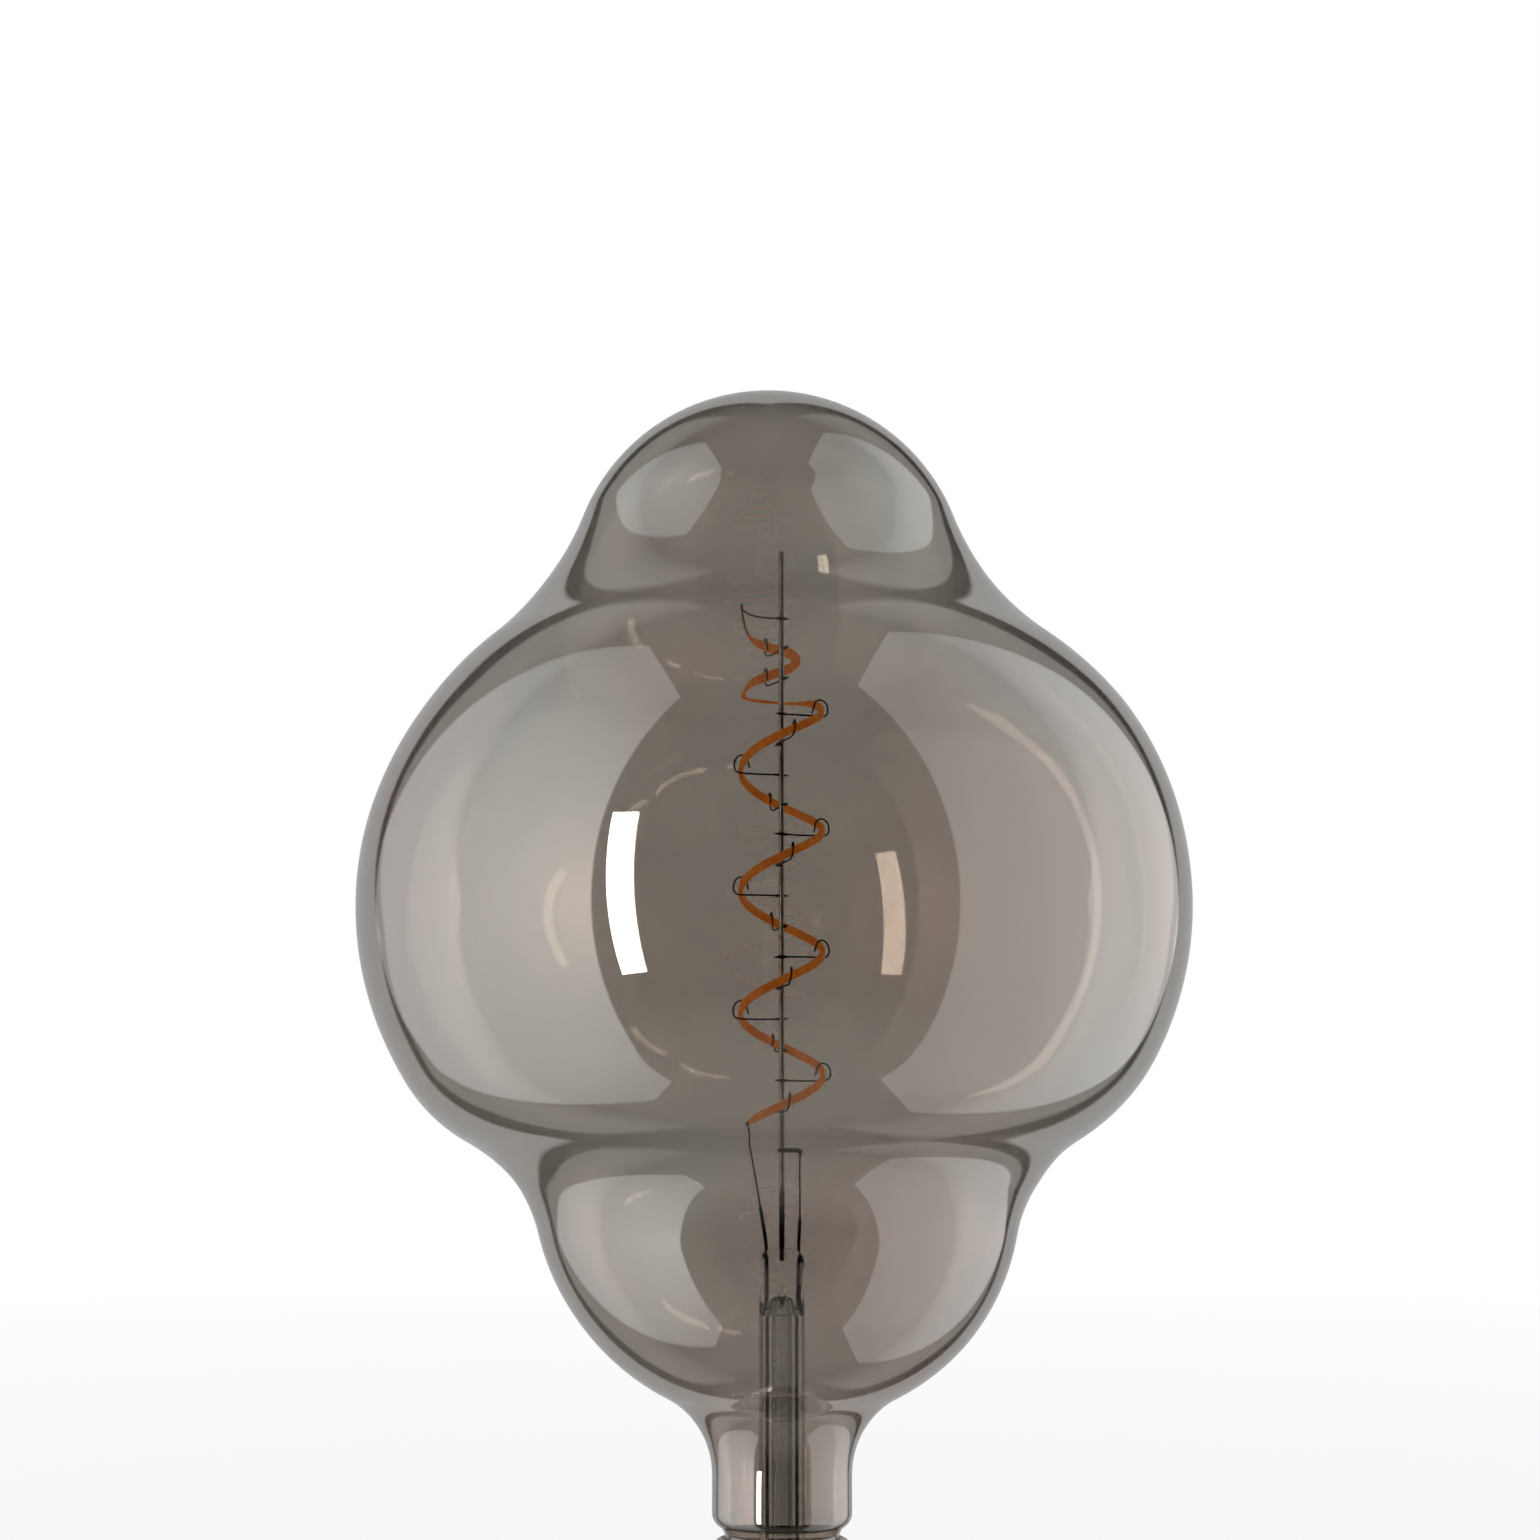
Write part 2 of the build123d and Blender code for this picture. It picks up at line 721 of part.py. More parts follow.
with BuildPart() as board_capacitor:
    length, width, height = capacitor_size
    with Locations((0, -capacitor_offset, board_height)):
        Box(length, width, height, align=(Align.CENTER, Align.CENTER, Align.MAX))
    fillet(board_capacitor.faces().sort_by(Axis.Z)[0].edges(), width / 6)
keep(board_capacitor.part, "board_capacitor")

resistor_height = board_height - resistor_standoff - resistor_radius
resistor_lead_route = [
    Vector(-resistor_reach, resistor_offset, board_top + hookup_tail),
    Vector(-resistor_reach, resistor_offset, resistor_height),
    Vector(resistor_reach, resistor_offset, resistor_height),
    Vector(resistor_reach, resistor_offset, board_top + hookup_tail),
]
with BuildPart() as fuse_resistor:
    add(wire_solid(resistor_lead_route, resistor_lead_radius, 2 * resistor_lead_radius))
    with Locations(Location((0, resistor_offset, resistor_height), (0, 90, 0))):
        Cylinder(resistor_radius, resistor_length)
    round_edges = fuse_resistor.edges().filter_by(GeomType.CIRCLE)
    fillet(round_edges.sort_by(SortBy.RADIUS)[-2:], resistor_radius / 3)
keep(fuse_resistor.part, "fuse_resistor")


# Wire from the board to the shell, lapped up its wall inside the cement

shell_wire_side = collar_radius - cap_sheet - hookup_radius - insulator_fit
shell_wire_route = [
    Vector(shell_wire_hole, 0, board_height - hookup_tail),
    Vector(shell_wire_hole, 0, board_height + shell_wire_rise),
    Vector(shell_wire_side, 0, collar_start + hookup_tail),
    Vector(shell_wire_side, 0, collar_start + hookup_tail + shell_wire_lap),
]
shell_wire = wire_solid(shell_wire_route, hookup_radius, bend_radii(shell_wire_route))
keep(shell_wire, "shell_wire")

with BuildPart() as cap_cement:
    with BuildSketch(Plane.XY.offset(cap_height - cement_recess - cement_length)):
        Circle(collar_radius - cap_sheet)
        Circle(seal_radius, mode=Mode.SUBTRACT)
    extrude(amount=cement_length)
    add(shell_wire, mode=Mode.SUBTRACT)
keep(cap_cement.part, "cap_cement")

os.makedirs("parts", exist_ok=True)
for piece in pieces:
    export_step(piece, f"parts/{piece.label}.step")
    print(piece.label, piece.is_valid, len(piece.solids()), round(piece.volume, 2))
strip_length = coil_height / sin(strip_slope) + sum(
    (after - before).length for before, after in zip(top_route, top_route[1:])
)
print("strip length about", round(strip_length), "smallest bend", round(min(bend_radii(top_route)), 2))
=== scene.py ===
import json
import math
import random
import bpy
from mathutils import Matrix, Quaternion, Vector


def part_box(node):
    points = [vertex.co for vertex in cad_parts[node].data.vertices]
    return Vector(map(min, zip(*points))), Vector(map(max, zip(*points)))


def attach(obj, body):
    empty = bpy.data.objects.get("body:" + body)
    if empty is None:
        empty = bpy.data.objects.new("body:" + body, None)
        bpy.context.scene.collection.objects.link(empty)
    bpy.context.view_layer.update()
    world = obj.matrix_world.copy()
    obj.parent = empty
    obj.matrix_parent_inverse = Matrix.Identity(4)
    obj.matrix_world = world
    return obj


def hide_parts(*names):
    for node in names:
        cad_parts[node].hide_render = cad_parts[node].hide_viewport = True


# A three-lobed LED filament bulb in smoke-tinted mirror glass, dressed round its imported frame.
# Sizes in the dictionaries are millimetres and degrees, and meshes are made in metres.

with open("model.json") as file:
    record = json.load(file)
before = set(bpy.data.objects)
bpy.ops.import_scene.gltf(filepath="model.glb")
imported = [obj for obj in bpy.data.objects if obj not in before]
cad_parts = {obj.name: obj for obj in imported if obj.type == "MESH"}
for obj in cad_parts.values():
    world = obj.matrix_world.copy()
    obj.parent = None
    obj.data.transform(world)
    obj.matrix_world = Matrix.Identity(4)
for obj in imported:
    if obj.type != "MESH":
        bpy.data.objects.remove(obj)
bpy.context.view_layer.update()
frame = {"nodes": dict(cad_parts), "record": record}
mm = 0.001
print("frame loaded:", len(frame["nodes"]), "nodes")


def polar(radius, angle, height):
    turn = math.radians(angle)
    return Vector((radius * math.cos(turn), radius * math.sin(turn), height))


def smoothStep(value):
    value = min(max(value, 0.0), 1.0)
    return value * value * (3 - 2 * value)


def alongTable(table, where):
    # A value between the rows of a table of (place, value), eased from one row to the next.
    if where <= table[0][0]:
        return table[0][1]
    for (before, low), (after, high) in zip(table, table[1:]):
        if where <= after:
            return low + (high - low) * smoothStep((where - before) / (after - before))
    return table[-1][1]


def newPiece(name, points, faces, slot):
    # A smooth-shaded mesh from points in millimetres, on the one body, with the finish of its slot.
    mesh = bpy.data.meshes.new(name)
    mesh.from_pydata([tuple(point * mm) for point in points], [], faces)
    mesh.validate()
    mesh.polygons.foreach_set("use_smooth", [True] * len(mesh.polygons))
    mesh.materials.append(finishes[slot])
    piece = bpy.data.objects.new(name, mesh)
    bpy.context.scene.collection.objects.link(piece)
    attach(piece, "root")
    return piece


# Node helpers

def addNode(tree, kind, inputs=None, **settings):
    # A node whose inputs are given as values or as other nodes' outputs.
    node = tree.nodes.new(kind)
    for key, value in settings.items():
        setattr(node, key, value)
    for key, value in (inputs or {}).items():
        if isinstance(value, bpy.types.NodeSocket):
            tree.links.new(value, node.inputs[key])
        else:
            node.inputs[key].default_value = value
    return node


def rgb(red, green, blue):
    # A linear colour from the three numbers that a colour picker shows.
    def linear(value):
        value /= 255
        return value / 12.92 if value <= 0.04045 else ((value + 0.055) / 1.055) ** 2.4
    return (linear(red), linear(green), linear(blue), 1.0)


def newMaterial(name):
    material = bpy.data.materials.new(name)
    material.use_nodes = True
    tree = material.node_tree
    shader = tree.nodes["Principled BSDF"]
    return material, tree, shader


def setSockets(shader, **values):
    for key, value in values.items():
        shader.inputs[key.replace("_", " ")].default_value = value


def noise(tree, place, scale, detail=4.0, roughness=0.55):
    inputs = {"Vector": place, "Scale": scale, "Detail": detail, "Roughness": roughness}
    return addNode(tree, "ShaderNodeTexNoise", inputs).outputs["Fac"]


def mapRange(tree, value, fromMin, fromMax, toMin, toMax):
    inputs = {"Value": value, "From Min": fromMin, "From Max": fromMax, "To Min": toMin, "To Max": toMax}
    return addNode(tree, "ShaderNodeMapRange", inputs).outputs["Result"]


def calculate(tree, operation, first, second=0.0):
    return addNode(tree, "ShaderNodeMath", {0: first, 1: second}, operation=operation).outputs[0]


def bounced(tree, kind):
    # 1 for rays that have already bounced that way, Glossy or Diffuse, and 0 for the others.
    depth = addNode(tree, "ShaderNodeLightPath").outputs[kind + " Depth"]
    return calculate(tree, "GREATER_THAN", depth, 0.5)


def mixColor(tree, factor, first, second):
    node = addNode(tree, "ShaderNodeMix", data_type="RGBA")
    for index, value in ((0, factor), (6, first), (7, second)):
        if isinstance(value, bpy.types.NodeSocket):
            tree.links.new(value, node.inputs[index])
        else:
            node.inputs[index].default_value = value
    return node.outputs[2]


def newGroup(name, numbers, outputs):
    # A shader node group with an object-space place, named numbers, and named outputs.
    group = bpy.data.node_groups.new(name, "ShaderNodeTree")
    group.interface.new_socket("Place", in_out="INPUT", socket_type="NodeSocketVector")
    for label, value in numbers.items():
        socket = group.interface.new_socket(label, in_out="INPUT", socket_type="NodeSocketFloat")
        socket.default_value = value
    for label in outputs:
        group.interface.new_socket(label, in_out="OUTPUT", socket_type="NodeSocketFloat")
    return group, group.nodes.new("NodeGroupInput").outputs, group.nodes.new("NodeGroupOutput").inputs


def placeGroup(tree, group, **numbers):
    node = tree.nodes.new("ShaderNodeGroup")
    node.node_tree = group
    place = addNode(tree, "ShaderNodeTexCoord").outputs["Object"]
    tree.links.new(place, node.inputs["Place"])
    for label, value in numbers.items():
        node.inputs[label].default_value = value
    return node.outputs


# Drawn and rolled metal: broad cloudiness and fine lines along the part

def makeMetalWear():
    group, given, made = newGroup(
        "Drawn metal wear", {"Cloud scale": 120.0, "Line scale": 900.0}, ("Cloud", "Lines", "Height"),
    )
    cloud = noise(group, given["Place"], given["Cloud scale"])
    stretched = addNode(group, "ShaderNodeMapping", {"Vector": given["Place"], "Scale": (1.0, 1.0, 0.06)})
    lines = noise(group, stretched.outputs["Vector"], given["Line scale"], 2.0)
    height = calculate(group, "ADD", lines, cloud)
    for label, socket in (("Cloud", cloud), ("Lines", lines), ("Height", height)):
        group.links.new(socket, made[label])
    return group


metalWear = makeMetalWear()
wearDepth = 0.02 * mm


def metalFinish(name, color, darker, roughness, cloudScale=120.0):
    material, tree, shader = newMaterial(name)
    wear = placeGroup(tree, metalWear, **{"Cloud scale": cloudScale})
    clouded = mixColor(tree, mapRange(tree, wear["Cloud"], 0.35, 0.7, 0.0, 1.0), color, darker)
    lined = mixColor(tree, mapRange(tree, wear["Lines"], 0.45, 0.75, 0.0, 0.5), clouded, darker)
    tree.links.new(lined, shader.inputs["Base Color"])
    gloss = mapRange(tree, wear["Cloud"], 0.3, 0.7, roughness * 0.7, roughness * 1.35)
    tree.links.new(gloss, shader.inputs["Roughness"])
    bumped = addNode(tree, "ShaderNodeBump", {"Height": wear["Height"], "Strength": 0.15, "Distance": wearDepth})
    tree.links.new(bumped.outputs["Normal"], shader.inputs["Normal"])
    setSockets(shader, Metallic=1.0)
    return material


# Glass

smokedGlassLook = {
    "tint": rgb(222, 214, 206),
    "rosier": rgb(226, 213, 207),
    "greener": rgb(220, 218, 210),
    "steepTint": rgb(190, 187, 184),
    "steepFrom": 0.35,
    "steepTo": 0.85,
    "mirror": 0.25,
    "index": 1.5,
    "cloudScale": 9.0,
    "rippleScale": 22.0,
    "rippleDepth": 0.00006,
}


def makeGlassWaver():
    group, given, made = newGroup(
        "Blown glass waver", {"Cloud scale": 9.0, "Ripple scale": 22.0}, ("Rose", "Green", "Height"),
    )
    rose = noise(group, given["Place"], given["Cloud scale"], 2.0, 0.4)
    elsewhere = addNode(group, "ShaderNodeVectorMath", {0: given["Place"], 1: (0.7, 0.2, 0.4)}, operation="ADD")
    green = noise(group, elsewhere.outputs[0], given["Cloud scale"], 2.0, 0.4)
    squashed = addNode(group, "ShaderNodeMapping", {"Vector": given["Place"], "Scale": (1.0, 1.0, 1.8)})
    height = noise(group, squashed.outputs["Vector"], given["Ripple scale"], 1.0, 0.4)
    for label, socket in (("Rose", rose), ("Green", green), ("Height", height)):
        group.links.new(socket, made[label])
    return group


glassWaver = makeGlassWaver()


def makeSmokedGlass(look):
    material, tree, shader = newMaterial("Smoke mirror glass")
    waver = placeGroup(tree, glassWaver, **{"Cloud scale": look["cloudScale"], "Ripple scale": look["rippleScale"]})
    rose = mapRange(tree, waver["Rose"], 0.45, 0.65, 0.0, 1.0)
    green = mapRange(tree, waver["Green"], 0.45, 0.65, 0.0, 1.0)
    color = mixColor(tree, rose, look["tint"], look["rosier"])
    color = mixColor(tree, green, color, look["greener"])
    steep = addNode(tree, "ShaderNodeLayerWeight", {"Blend": 0.5}).outputs["Facing"]
    steep = mapRange(tree, steep, look["steepFrom"], look["steepTo"], 0.0, 1.0)
    color = mixColor(tree, steep, color, look["steepTint"])
    tree.links.new(color, shader.inputs["Base Color"])
    ripple = addNode(
        tree, "ShaderNodeBump",
        {"Height": waver["Height"], "Strength": 0.5, "Distance": look["rippleDepth"]},
    )
    tree.links.new(ripple.outputs["Normal"], shader.inputs["Normal"])
    setSockets(shader, Metallic=look["mirror"], Transmission_Weight=1.0, IOR=look["index"], Roughness=0.0)
    return material


def makeClearGlass():
    material, tree, shader = newMaterial("Clear stem glass")
    waver = placeGroup(tree, glassWaver, **{"Cloud scale": 60.0, "Ripple scale": 160.0})
    color = mixColor(tree, waver["Rose"], rgb(254, 254, 252), rgb(246, 249, 246))
    tree.links.new(color, shader.inputs["Base Color"])
    ripple = addNode(tree, "ShaderNodeBump", {"Height": waver["Height"], "Strength": 0.5, "Distance": 0.0002})
    tree.links.new(ripple.outputs["Normal"], shader.inputs["Normal"])
    setSockets(shader, Transmission_Weight=1.0, IOR=1.5, Roughness=0.0)
    return material


# Filament coating: orange silicone with faint grain and the chips showing through, with a painted glow, an emission
# that stands in for light, since the filament is no lit lamp

coatingLook = {
    "bright": rgb(232, 138, 44),
    "deep": rgb(188, 88, 22),
    # The glow colours and their strength are a painted glow: emission standing in for light on the unlit filament
    "glow": (1.0, 0.3, 0.03, 1.0),
    "paintedGlowFaint": (0.62, 0.17, 0.02, 1.0),
    "paleTip": rgb(176, 158, 104),
    "palePaintedGlow": (0.05, 0.04, 0.02, 1.0),
    "paleFrom": 5.5,
    "paleTo": 7.5,
    "paintedGlowStrength": 0.3,
    "chipPitch": 1.25,
}


def makeCoating(look):
    material, tree, shader = newMaterial("Orange filament coating with painted glow")
    place = addNode(tree, "ShaderNodeTexCoord").outputs["Object"]
    grain = noise(tree, place, 1800.0, 3.0)
    patches = noise(tree, place, 160.0, 2.0)
    strip = addNode(tree, "ShaderNodeUVMap", uv_map="Strip").outputs["UV"]
    along = addNode(tree, "ShaderNodeSeparateXYZ", {"Vector": strip}).outputs["X"]
    pitch = look["chipPitch"] * mm
    chips = calculate(tree, "PINGPONG", along, pitch)
    chipMask = mapRange(tree, chips, pitch * 0.62, pitch * 0.78, 0.0, 0.35)
    color = mixColor(tree, mapRange(tree, patches, 0.35, 0.65, 0.0, 1.0), look["bright"], look["deep"])
    color = mixColor(tree, chipMask, color, look["deep"])
    color = mixColor(tree, mapRange(tree, grain, 0.5, 0.8, 0.0, 0.4), color, look["bright"])
    bumped = addNode(tree, "ShaderNodeBump", {"Height": grain, "Strength": 0.3, "Distance": 0.00003})
    tree.links.new(bumped.outputs["Normal"], shader.inputs["Normal"])
    # The first millimetres from the loose end are pale and get barely any painted glow, and mirrored views get no
    # painted glow at all.
    pale = mapRange(tree, along, look["paleFrom"] * mm, look["paleTo"] * mm, 1.0, 0.0)
    color = mixColor(tree, pale, color, look["paleTip"])
    tree.links.new(color, shader.inputs["Base Color"])
    # Painted glow: an emission that stands in for light, fainter between the chips and left out of mirrored views
    glow = mixColor(tree, chipMask, look["glow"], look["paintedGlowFaint"])
    glow = mixColor(tree, pale, glow, look["palePaintedGlow"])
    glow = mixColor(tree, bounced(tree, "Glossy"), glow, (0.0, 0.0, 0.0, 1.0))
    tree.links.new(glow, shader.inputs["Emission Color"])
    setSockets(shader, Roughness=0.42, Emission_Strength=look["paintedGlowStrength"])
    return material


# Plain moulded or fired surfaces: a colour, a lighter dusting and grain

def fired(name, color, dusted, roughness, scale=420.0, bump=0.25, depth=0.00003):
    material, tree, shader = newMaterial(name)
    place = addNode(tree, "ShaderNodeTexCoord").outputs["Object"]
    grain = noise(tree, place, scale, 5.0)
    broad = noise(tree, place, scale / 7, 2.0)
    tree.links.new(
        mixColor(tree, mapRange(tree, broad, 0.4, 0.7, 0.0, 1.0), color, dusted), shader.inputs["Base Color"]
    )
    tree.links.new(mapRange(tree, grain, 0.3, 0.7, roughness * 0.8, roughness * 1.2), shader.inputs["Roughness"])
    bumped = addNode(tree, "ShaderNodeBump", {"Height": grain, "Strength": bump, "Distance": depth})
    tree.links.new(bumped.outputs["Normal"], shader.inputs["Normal"])
    return material


rodLook = {
    "bright": rgb(220, 211, 199),
    "drawn": rgb(188, 178, 166),
    "darkLower": rgb(62, 44, 32),
    "darkLowerTop": 95.0,
    "darkLowerFull": 89.0,
    "darkLowerSpread": 12.0,
    "gloss": 0.17,
    "darkLowerGloss": 0.5,
    "cloudScale": 240.0,
}


def makeRodSteel(look):
    # Bright drawn steel, dark brown and rougher towards its foot, blotchy where the two meet.
    material, tree, shader = newMaterial("Bright rod steel")
    wear = placeGroup(tree, metalWear, **{"Cloud scale": look["cloudScale"]})
    place = addNode(tree, "ShaderNodeTexCoord").outputs["Object"]
    height = addNode(tree, "ShaderNodeSeparateXYZ", {"Vector": place}).outputs["Z"]
    lowered = calculate(tree, "MULTIPLY", wear["Cloud"], look["darkLowerSpread"] * mm)
    blotched = calculate(tree, "SUBTRACT", height, lowered)
    darkLowerShare = mapRange(tree, blotched, look["darkLowerFull"] * mm, look["darkLowerTop"] * mm, 1.0, 0.0)
    color = mixColor(tree, mapRange(tree, wear["Cloud"], 0.35, 0.7, 0.0, 1.0), look["bright"], look["drawn"])
    tree.links.new(mixColor(tree, darkLowerShare, color, look["darkLower"]), shader.inputs["Base Color"])
    gloss = mapRange(tree, darkLowerShare, 0.0, 1.0, look["gloss"], look["darkLowerGloss"])
    tree.links.new(gloss, shader.inputs["Roughness"])
    bumped = addNode(tree, "ShaderNodeBump", {"Height": wear["Height"], "Strength": 0.1, "Distance": wearDepth})
    tree.links.new(bumped.outputs["Normal"], shader.inputs["Normal"])
    setSockets(shader, Metallic=1.0)
    return material


finishes = {
    "smoked_glass": makeSmokedGlass(smokedGlassLook),
    "clear_glass": makeClearGlass(),
    "filament_coating": makeCoating(coatingLook),
    "rod_steel": makeRodSteel(rodLook),
    "hook_wire": metalFinish("Dark hook wire", rgb(92, 86, 80), rgb(54, 48, 44), 0.4),
    "lead_wire": metalFinish("Dark lead wire", rgb(96, 88, 80), rgb(52, 46, 40), 0.42),
    "clip_metal": metalFinish("Crimp clip metal", rgb(120, 112, 102), rgb(70, 64, 58), 0.4),
    "cap_metal": metalFinish("Nickelled cap sheet", rgb(206, 203, 197), rgb(178, 173, 165), 0.22, cloudScale=160.0),
    "contact_metal": metalFinish("Tinned contact", rgb(196, 192, 184), rgb(150, 144, 134), 0.35),
    "solder": metalFinish("Solder", rgb(188, 188, 188), rgb(138, 138, 138), 0.3, cloudScale=400.0),
    "black_insulator": fired("Black glass insulator", rgb(22, 21, 22), rgb(36, 34, 36), 0.16),
    "cement": fired("Cap cement", rgb(196, 184, 160), rgb(168, 152, 126), 0.9, 900.0, 0.6, 0.0001),
    "board": fired("Board laminate", rgb(52, 96, 60), rgb(64, 110, 70), 0.45),
    "black_component": fired("Moulded component black", rgb(34, 34, 35), rgb(52, 52, 53), 0.5),
    "capacitor_case": fired("Capacitor case", rgb(158, 110, 44), rgb(138, 92, 38), 0.4),
    "resistor_coat": fired("Resistor coat", rgb(150, 176, 168), rgb(128, 158, 150), 0.4),
    "hookup_wire": metalFinish("Tinned hookup wire", rgb(190, 186, 178), rgb(140, 134, 124), 0.35),
}
for entry in frame["record"]["subparts"]:
    for place in frame["nodes"][entry["node"]].material_slots:
        place.material = finishes[entry["material_slot"]]
print("materials made:", len(finishes))


# Glass envelope: one blown shell of even wall, its crown drawn a little to the left

envelope = {
    "wall": 0.8,
    "domeRadius": 44.4,
    "domeToBelly": 69.95,
    "bellyRadius": 90.0,
    "bellyArc": 71.1,
    "shoulderArc": 41.4,
    "shoulderAngle": 31.3,
    "upperWaistArc": 69.4,
    "lowerWaistArc": 30.1,
    "bellyToLobe": 59.65,
    "lobeRadius": 52.1,
    "lobeArc": 50.0,
    "neckRadius": 14.7,
    "neckArc": 18.0,
    "sealRadius": 12.0,
    "sealArc": 3.0,
    "sealStep": 0.4,
    "sealRows": 4,
    "neckRows": 9,
    "neckGap": 0.6,
    "drift": [(60, 0.0), (100, -1.0), (111, -2.3), (128, -1.7), (165, -1.65), (200, -1.2), (232, -2.9)],
    "step": 1.3,
    "around": 150,
}


def circleCrossing(first, firstRadius, second, secondRadius):
    span = second - first
    along = (span.length**2 + firstRadius**2 - secondRadius**2) / (2 * span.length)
    across = math.sqrt(firstRadius**2 - along**2)
    side = Vector((-span.y, span.x)) / span.length
    foot = first + span * (along / span.length)
    return max(foot + side * across, foot - side * across, key=lambda point: point.x)


def touching(center, radius, other, otherRadius):
    return center + (other - center) * (radius / (radius + otherRadius))


def arcRun(center, start, end, outward, step):
    # Points and outward normals round an arc, without its last point.
    first, last = start - center, end - center
    turn = first.angle_signed(last) * -1
    count = max(4, round(abs(turn) * first.length / step))
    run = []
    for place in range(count):
        angle = math.atan2(first.y, first.x) + turn * place / count
        way = Vector((math.cos(angle), math.sin(angle)))
        run.append((center + way * first.length, way * outward))
    return run


def envelopeOutline(size):
    # The outer outline in the section plane, from the crown down to the seal.
    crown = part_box("glass_envelope")[1].z / mm
    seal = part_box("glass_envelope")[0].z / mm
    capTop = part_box("cap_shell")[1].z / mm
    dome = Vector((0, crown - size["domeRadius"]))
    belly = Vector((size["bellyRadius"] - size["bellyArc"], dome.y - size["domeToBelly"]))
    slant = math.radians(size["shoulderAngle"])
    shoulderWay = Vector((math.cos(slant), -math.sin(slant)))
    shoulder = belly + shoulderWay * (size["bellyArc"] - size["shoulderArc"])
    lobe = Vector((size["lobeRadius"] - size["lobeArc"], belly.y - size["bellyToLobe"]))
    upper, lower = size["upperWaistArc"], size["lowerWaistArc"]
    upperWaist = circleCrossing(dome, size["domeRadius"] + upper, belly, size["bellyArc"] + upper)
    lowerWaist = circleCrossing(shoulder, size["shoulderArc"] + lower, lobe, size["lobeArc"] + lower)
    neckReach = size["neckRadius"] + size["neckArc"]
    neckDrop = math.sqrt((size["lobeArc"] + size["neckArc"]) ** 2 - (neckReach - lobe.x) ** 2)
    neckCenter = Vector((neckReach, lobe.y - neckDrop))
    stepIn = (size["neckRadius"] - size["sealRadius"]) / 2
    sealTurn = math.sqrt(size["sealArc"] ** 2 - (size["sealArc"] - stepIn) ** 2)
    sealTop = capTop + size["neckGap"] + 2 * sealTurn
    joints = [
        touching(dome, size["domeRadius"], upperWaist, upper),
        touching(belly, size["bellyArc"], upperWaist, upper),
        belly + shoulderWay * size["bellyArc"],
        touching(shoulder, size["shoulderArc"], lowerWaist, lower),
        touching(lobe, size["lobeArc"], lowerWaist, lower),
        touching(lobe, size["lobeArc"], neckCenter, size["neckArc"]),
    ]
    step = size["step"]
    run = arcRun(dome, Vector((0, crown)), joints[0], 1, step)
    run += arcRun(upperWaist, joints[0], joints[1], -1, step)
    run += arcRun(belly, joints[1], joints[2], 1, step)
    run += arcRun(shoulder, joints[2], joints[3], 1, step)
    run += arcRun(lowerWaist, joints[3], joints[4], -1, step)
    run += arcRun(lobe, joints[4], joints[5], 1, step)
    run += arcRun(neckCenter, joints[5], Vector((size["neckRadius"], neckCenter.y)), -1, step)
    for place in range(size["neckRows"]):
        height = neckCenter.y + (sealTop - neckCenter.y) * place / size["neckRows"]
        run.append((Vector((size["neckRadius"], height)), Vector((1, 0))))
    sealMiddle = Vector(((size["neckRadius"] + size["sealRadius"]) / 2, sealTop - sealTurn))
    upperSeal = Vector((size["neckRadius"] - size["sealArc"], sealTop))
    lowerSeal = Vector((size["sealRadius"] + size["sealArc"], capTop + size["neckGap"]))
    run += arcRun(upperSeal, Vector((size["neckRadius"], sealTop)), sealMiddle, 1, size["sealStep"])
    run += arcRun(lowerSeal, sealMiddle, Vector((size["sealRadius"], lowerSeal.y)), -1, size["sealStep"])
    for place in range(size["sealRows"] + 1):
        height = lowerSeal.y + (seal - lowerSeal.y) * place / size["sealRows"]
        run.append((Vector((size["sealRadius"], height)), Vector((1, 0))))
    return run


def makeEnvelope(size):
    outline = envelopeOutline(size)
    outer = [point for point, way in outline]
    inner = [point - way * size["wall"] for point, way in outline]
    section = outer[1:] + inner[:0:-1]
    points, faces = [], []
    count = size["around"]
    for place in section:
        drift = alongTable(size["drift"], place.y)
        for turn in range(count):
            around = polar(place.x, 360 * turn / count, place.y)
            points.append(around + Vector((drift, 0, 0)))
    for row in range(len(section) - 1):
        for turn in range(count):
            after = (turn + 1) % count
            first, second = row * count, (row + 1) * count
            faces.append((first + turn, second + turn, second + after, first + after))
    crownDrift = alongTable(size["drift"], outer[0].y)
    for crown, row, flip in ((outer[0], 0, False), (inner[0], len(section) - 1, True)):
        points.append(Vector((crownDrift, 0, crown.y)))
        pole = len(points) - 1
        for turn in range(count):
            rim = (row * count + turn, row * count + (turn + 1) % count)
            faces.append((pole, rim[1], rim[0]) if flip else (pole, rim[0], rim[1]))
    return newPiece("glassBulb", points, faces, "smoked_glass")


glassBulb = makeEnvelope(envelope)
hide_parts("glass_envelope")
print("glass envelope made:", len(glassBulb.data.polygons), "faces")


# LED filament: a flat coated strip wound in a right-handed coil, its top end loose and twisted

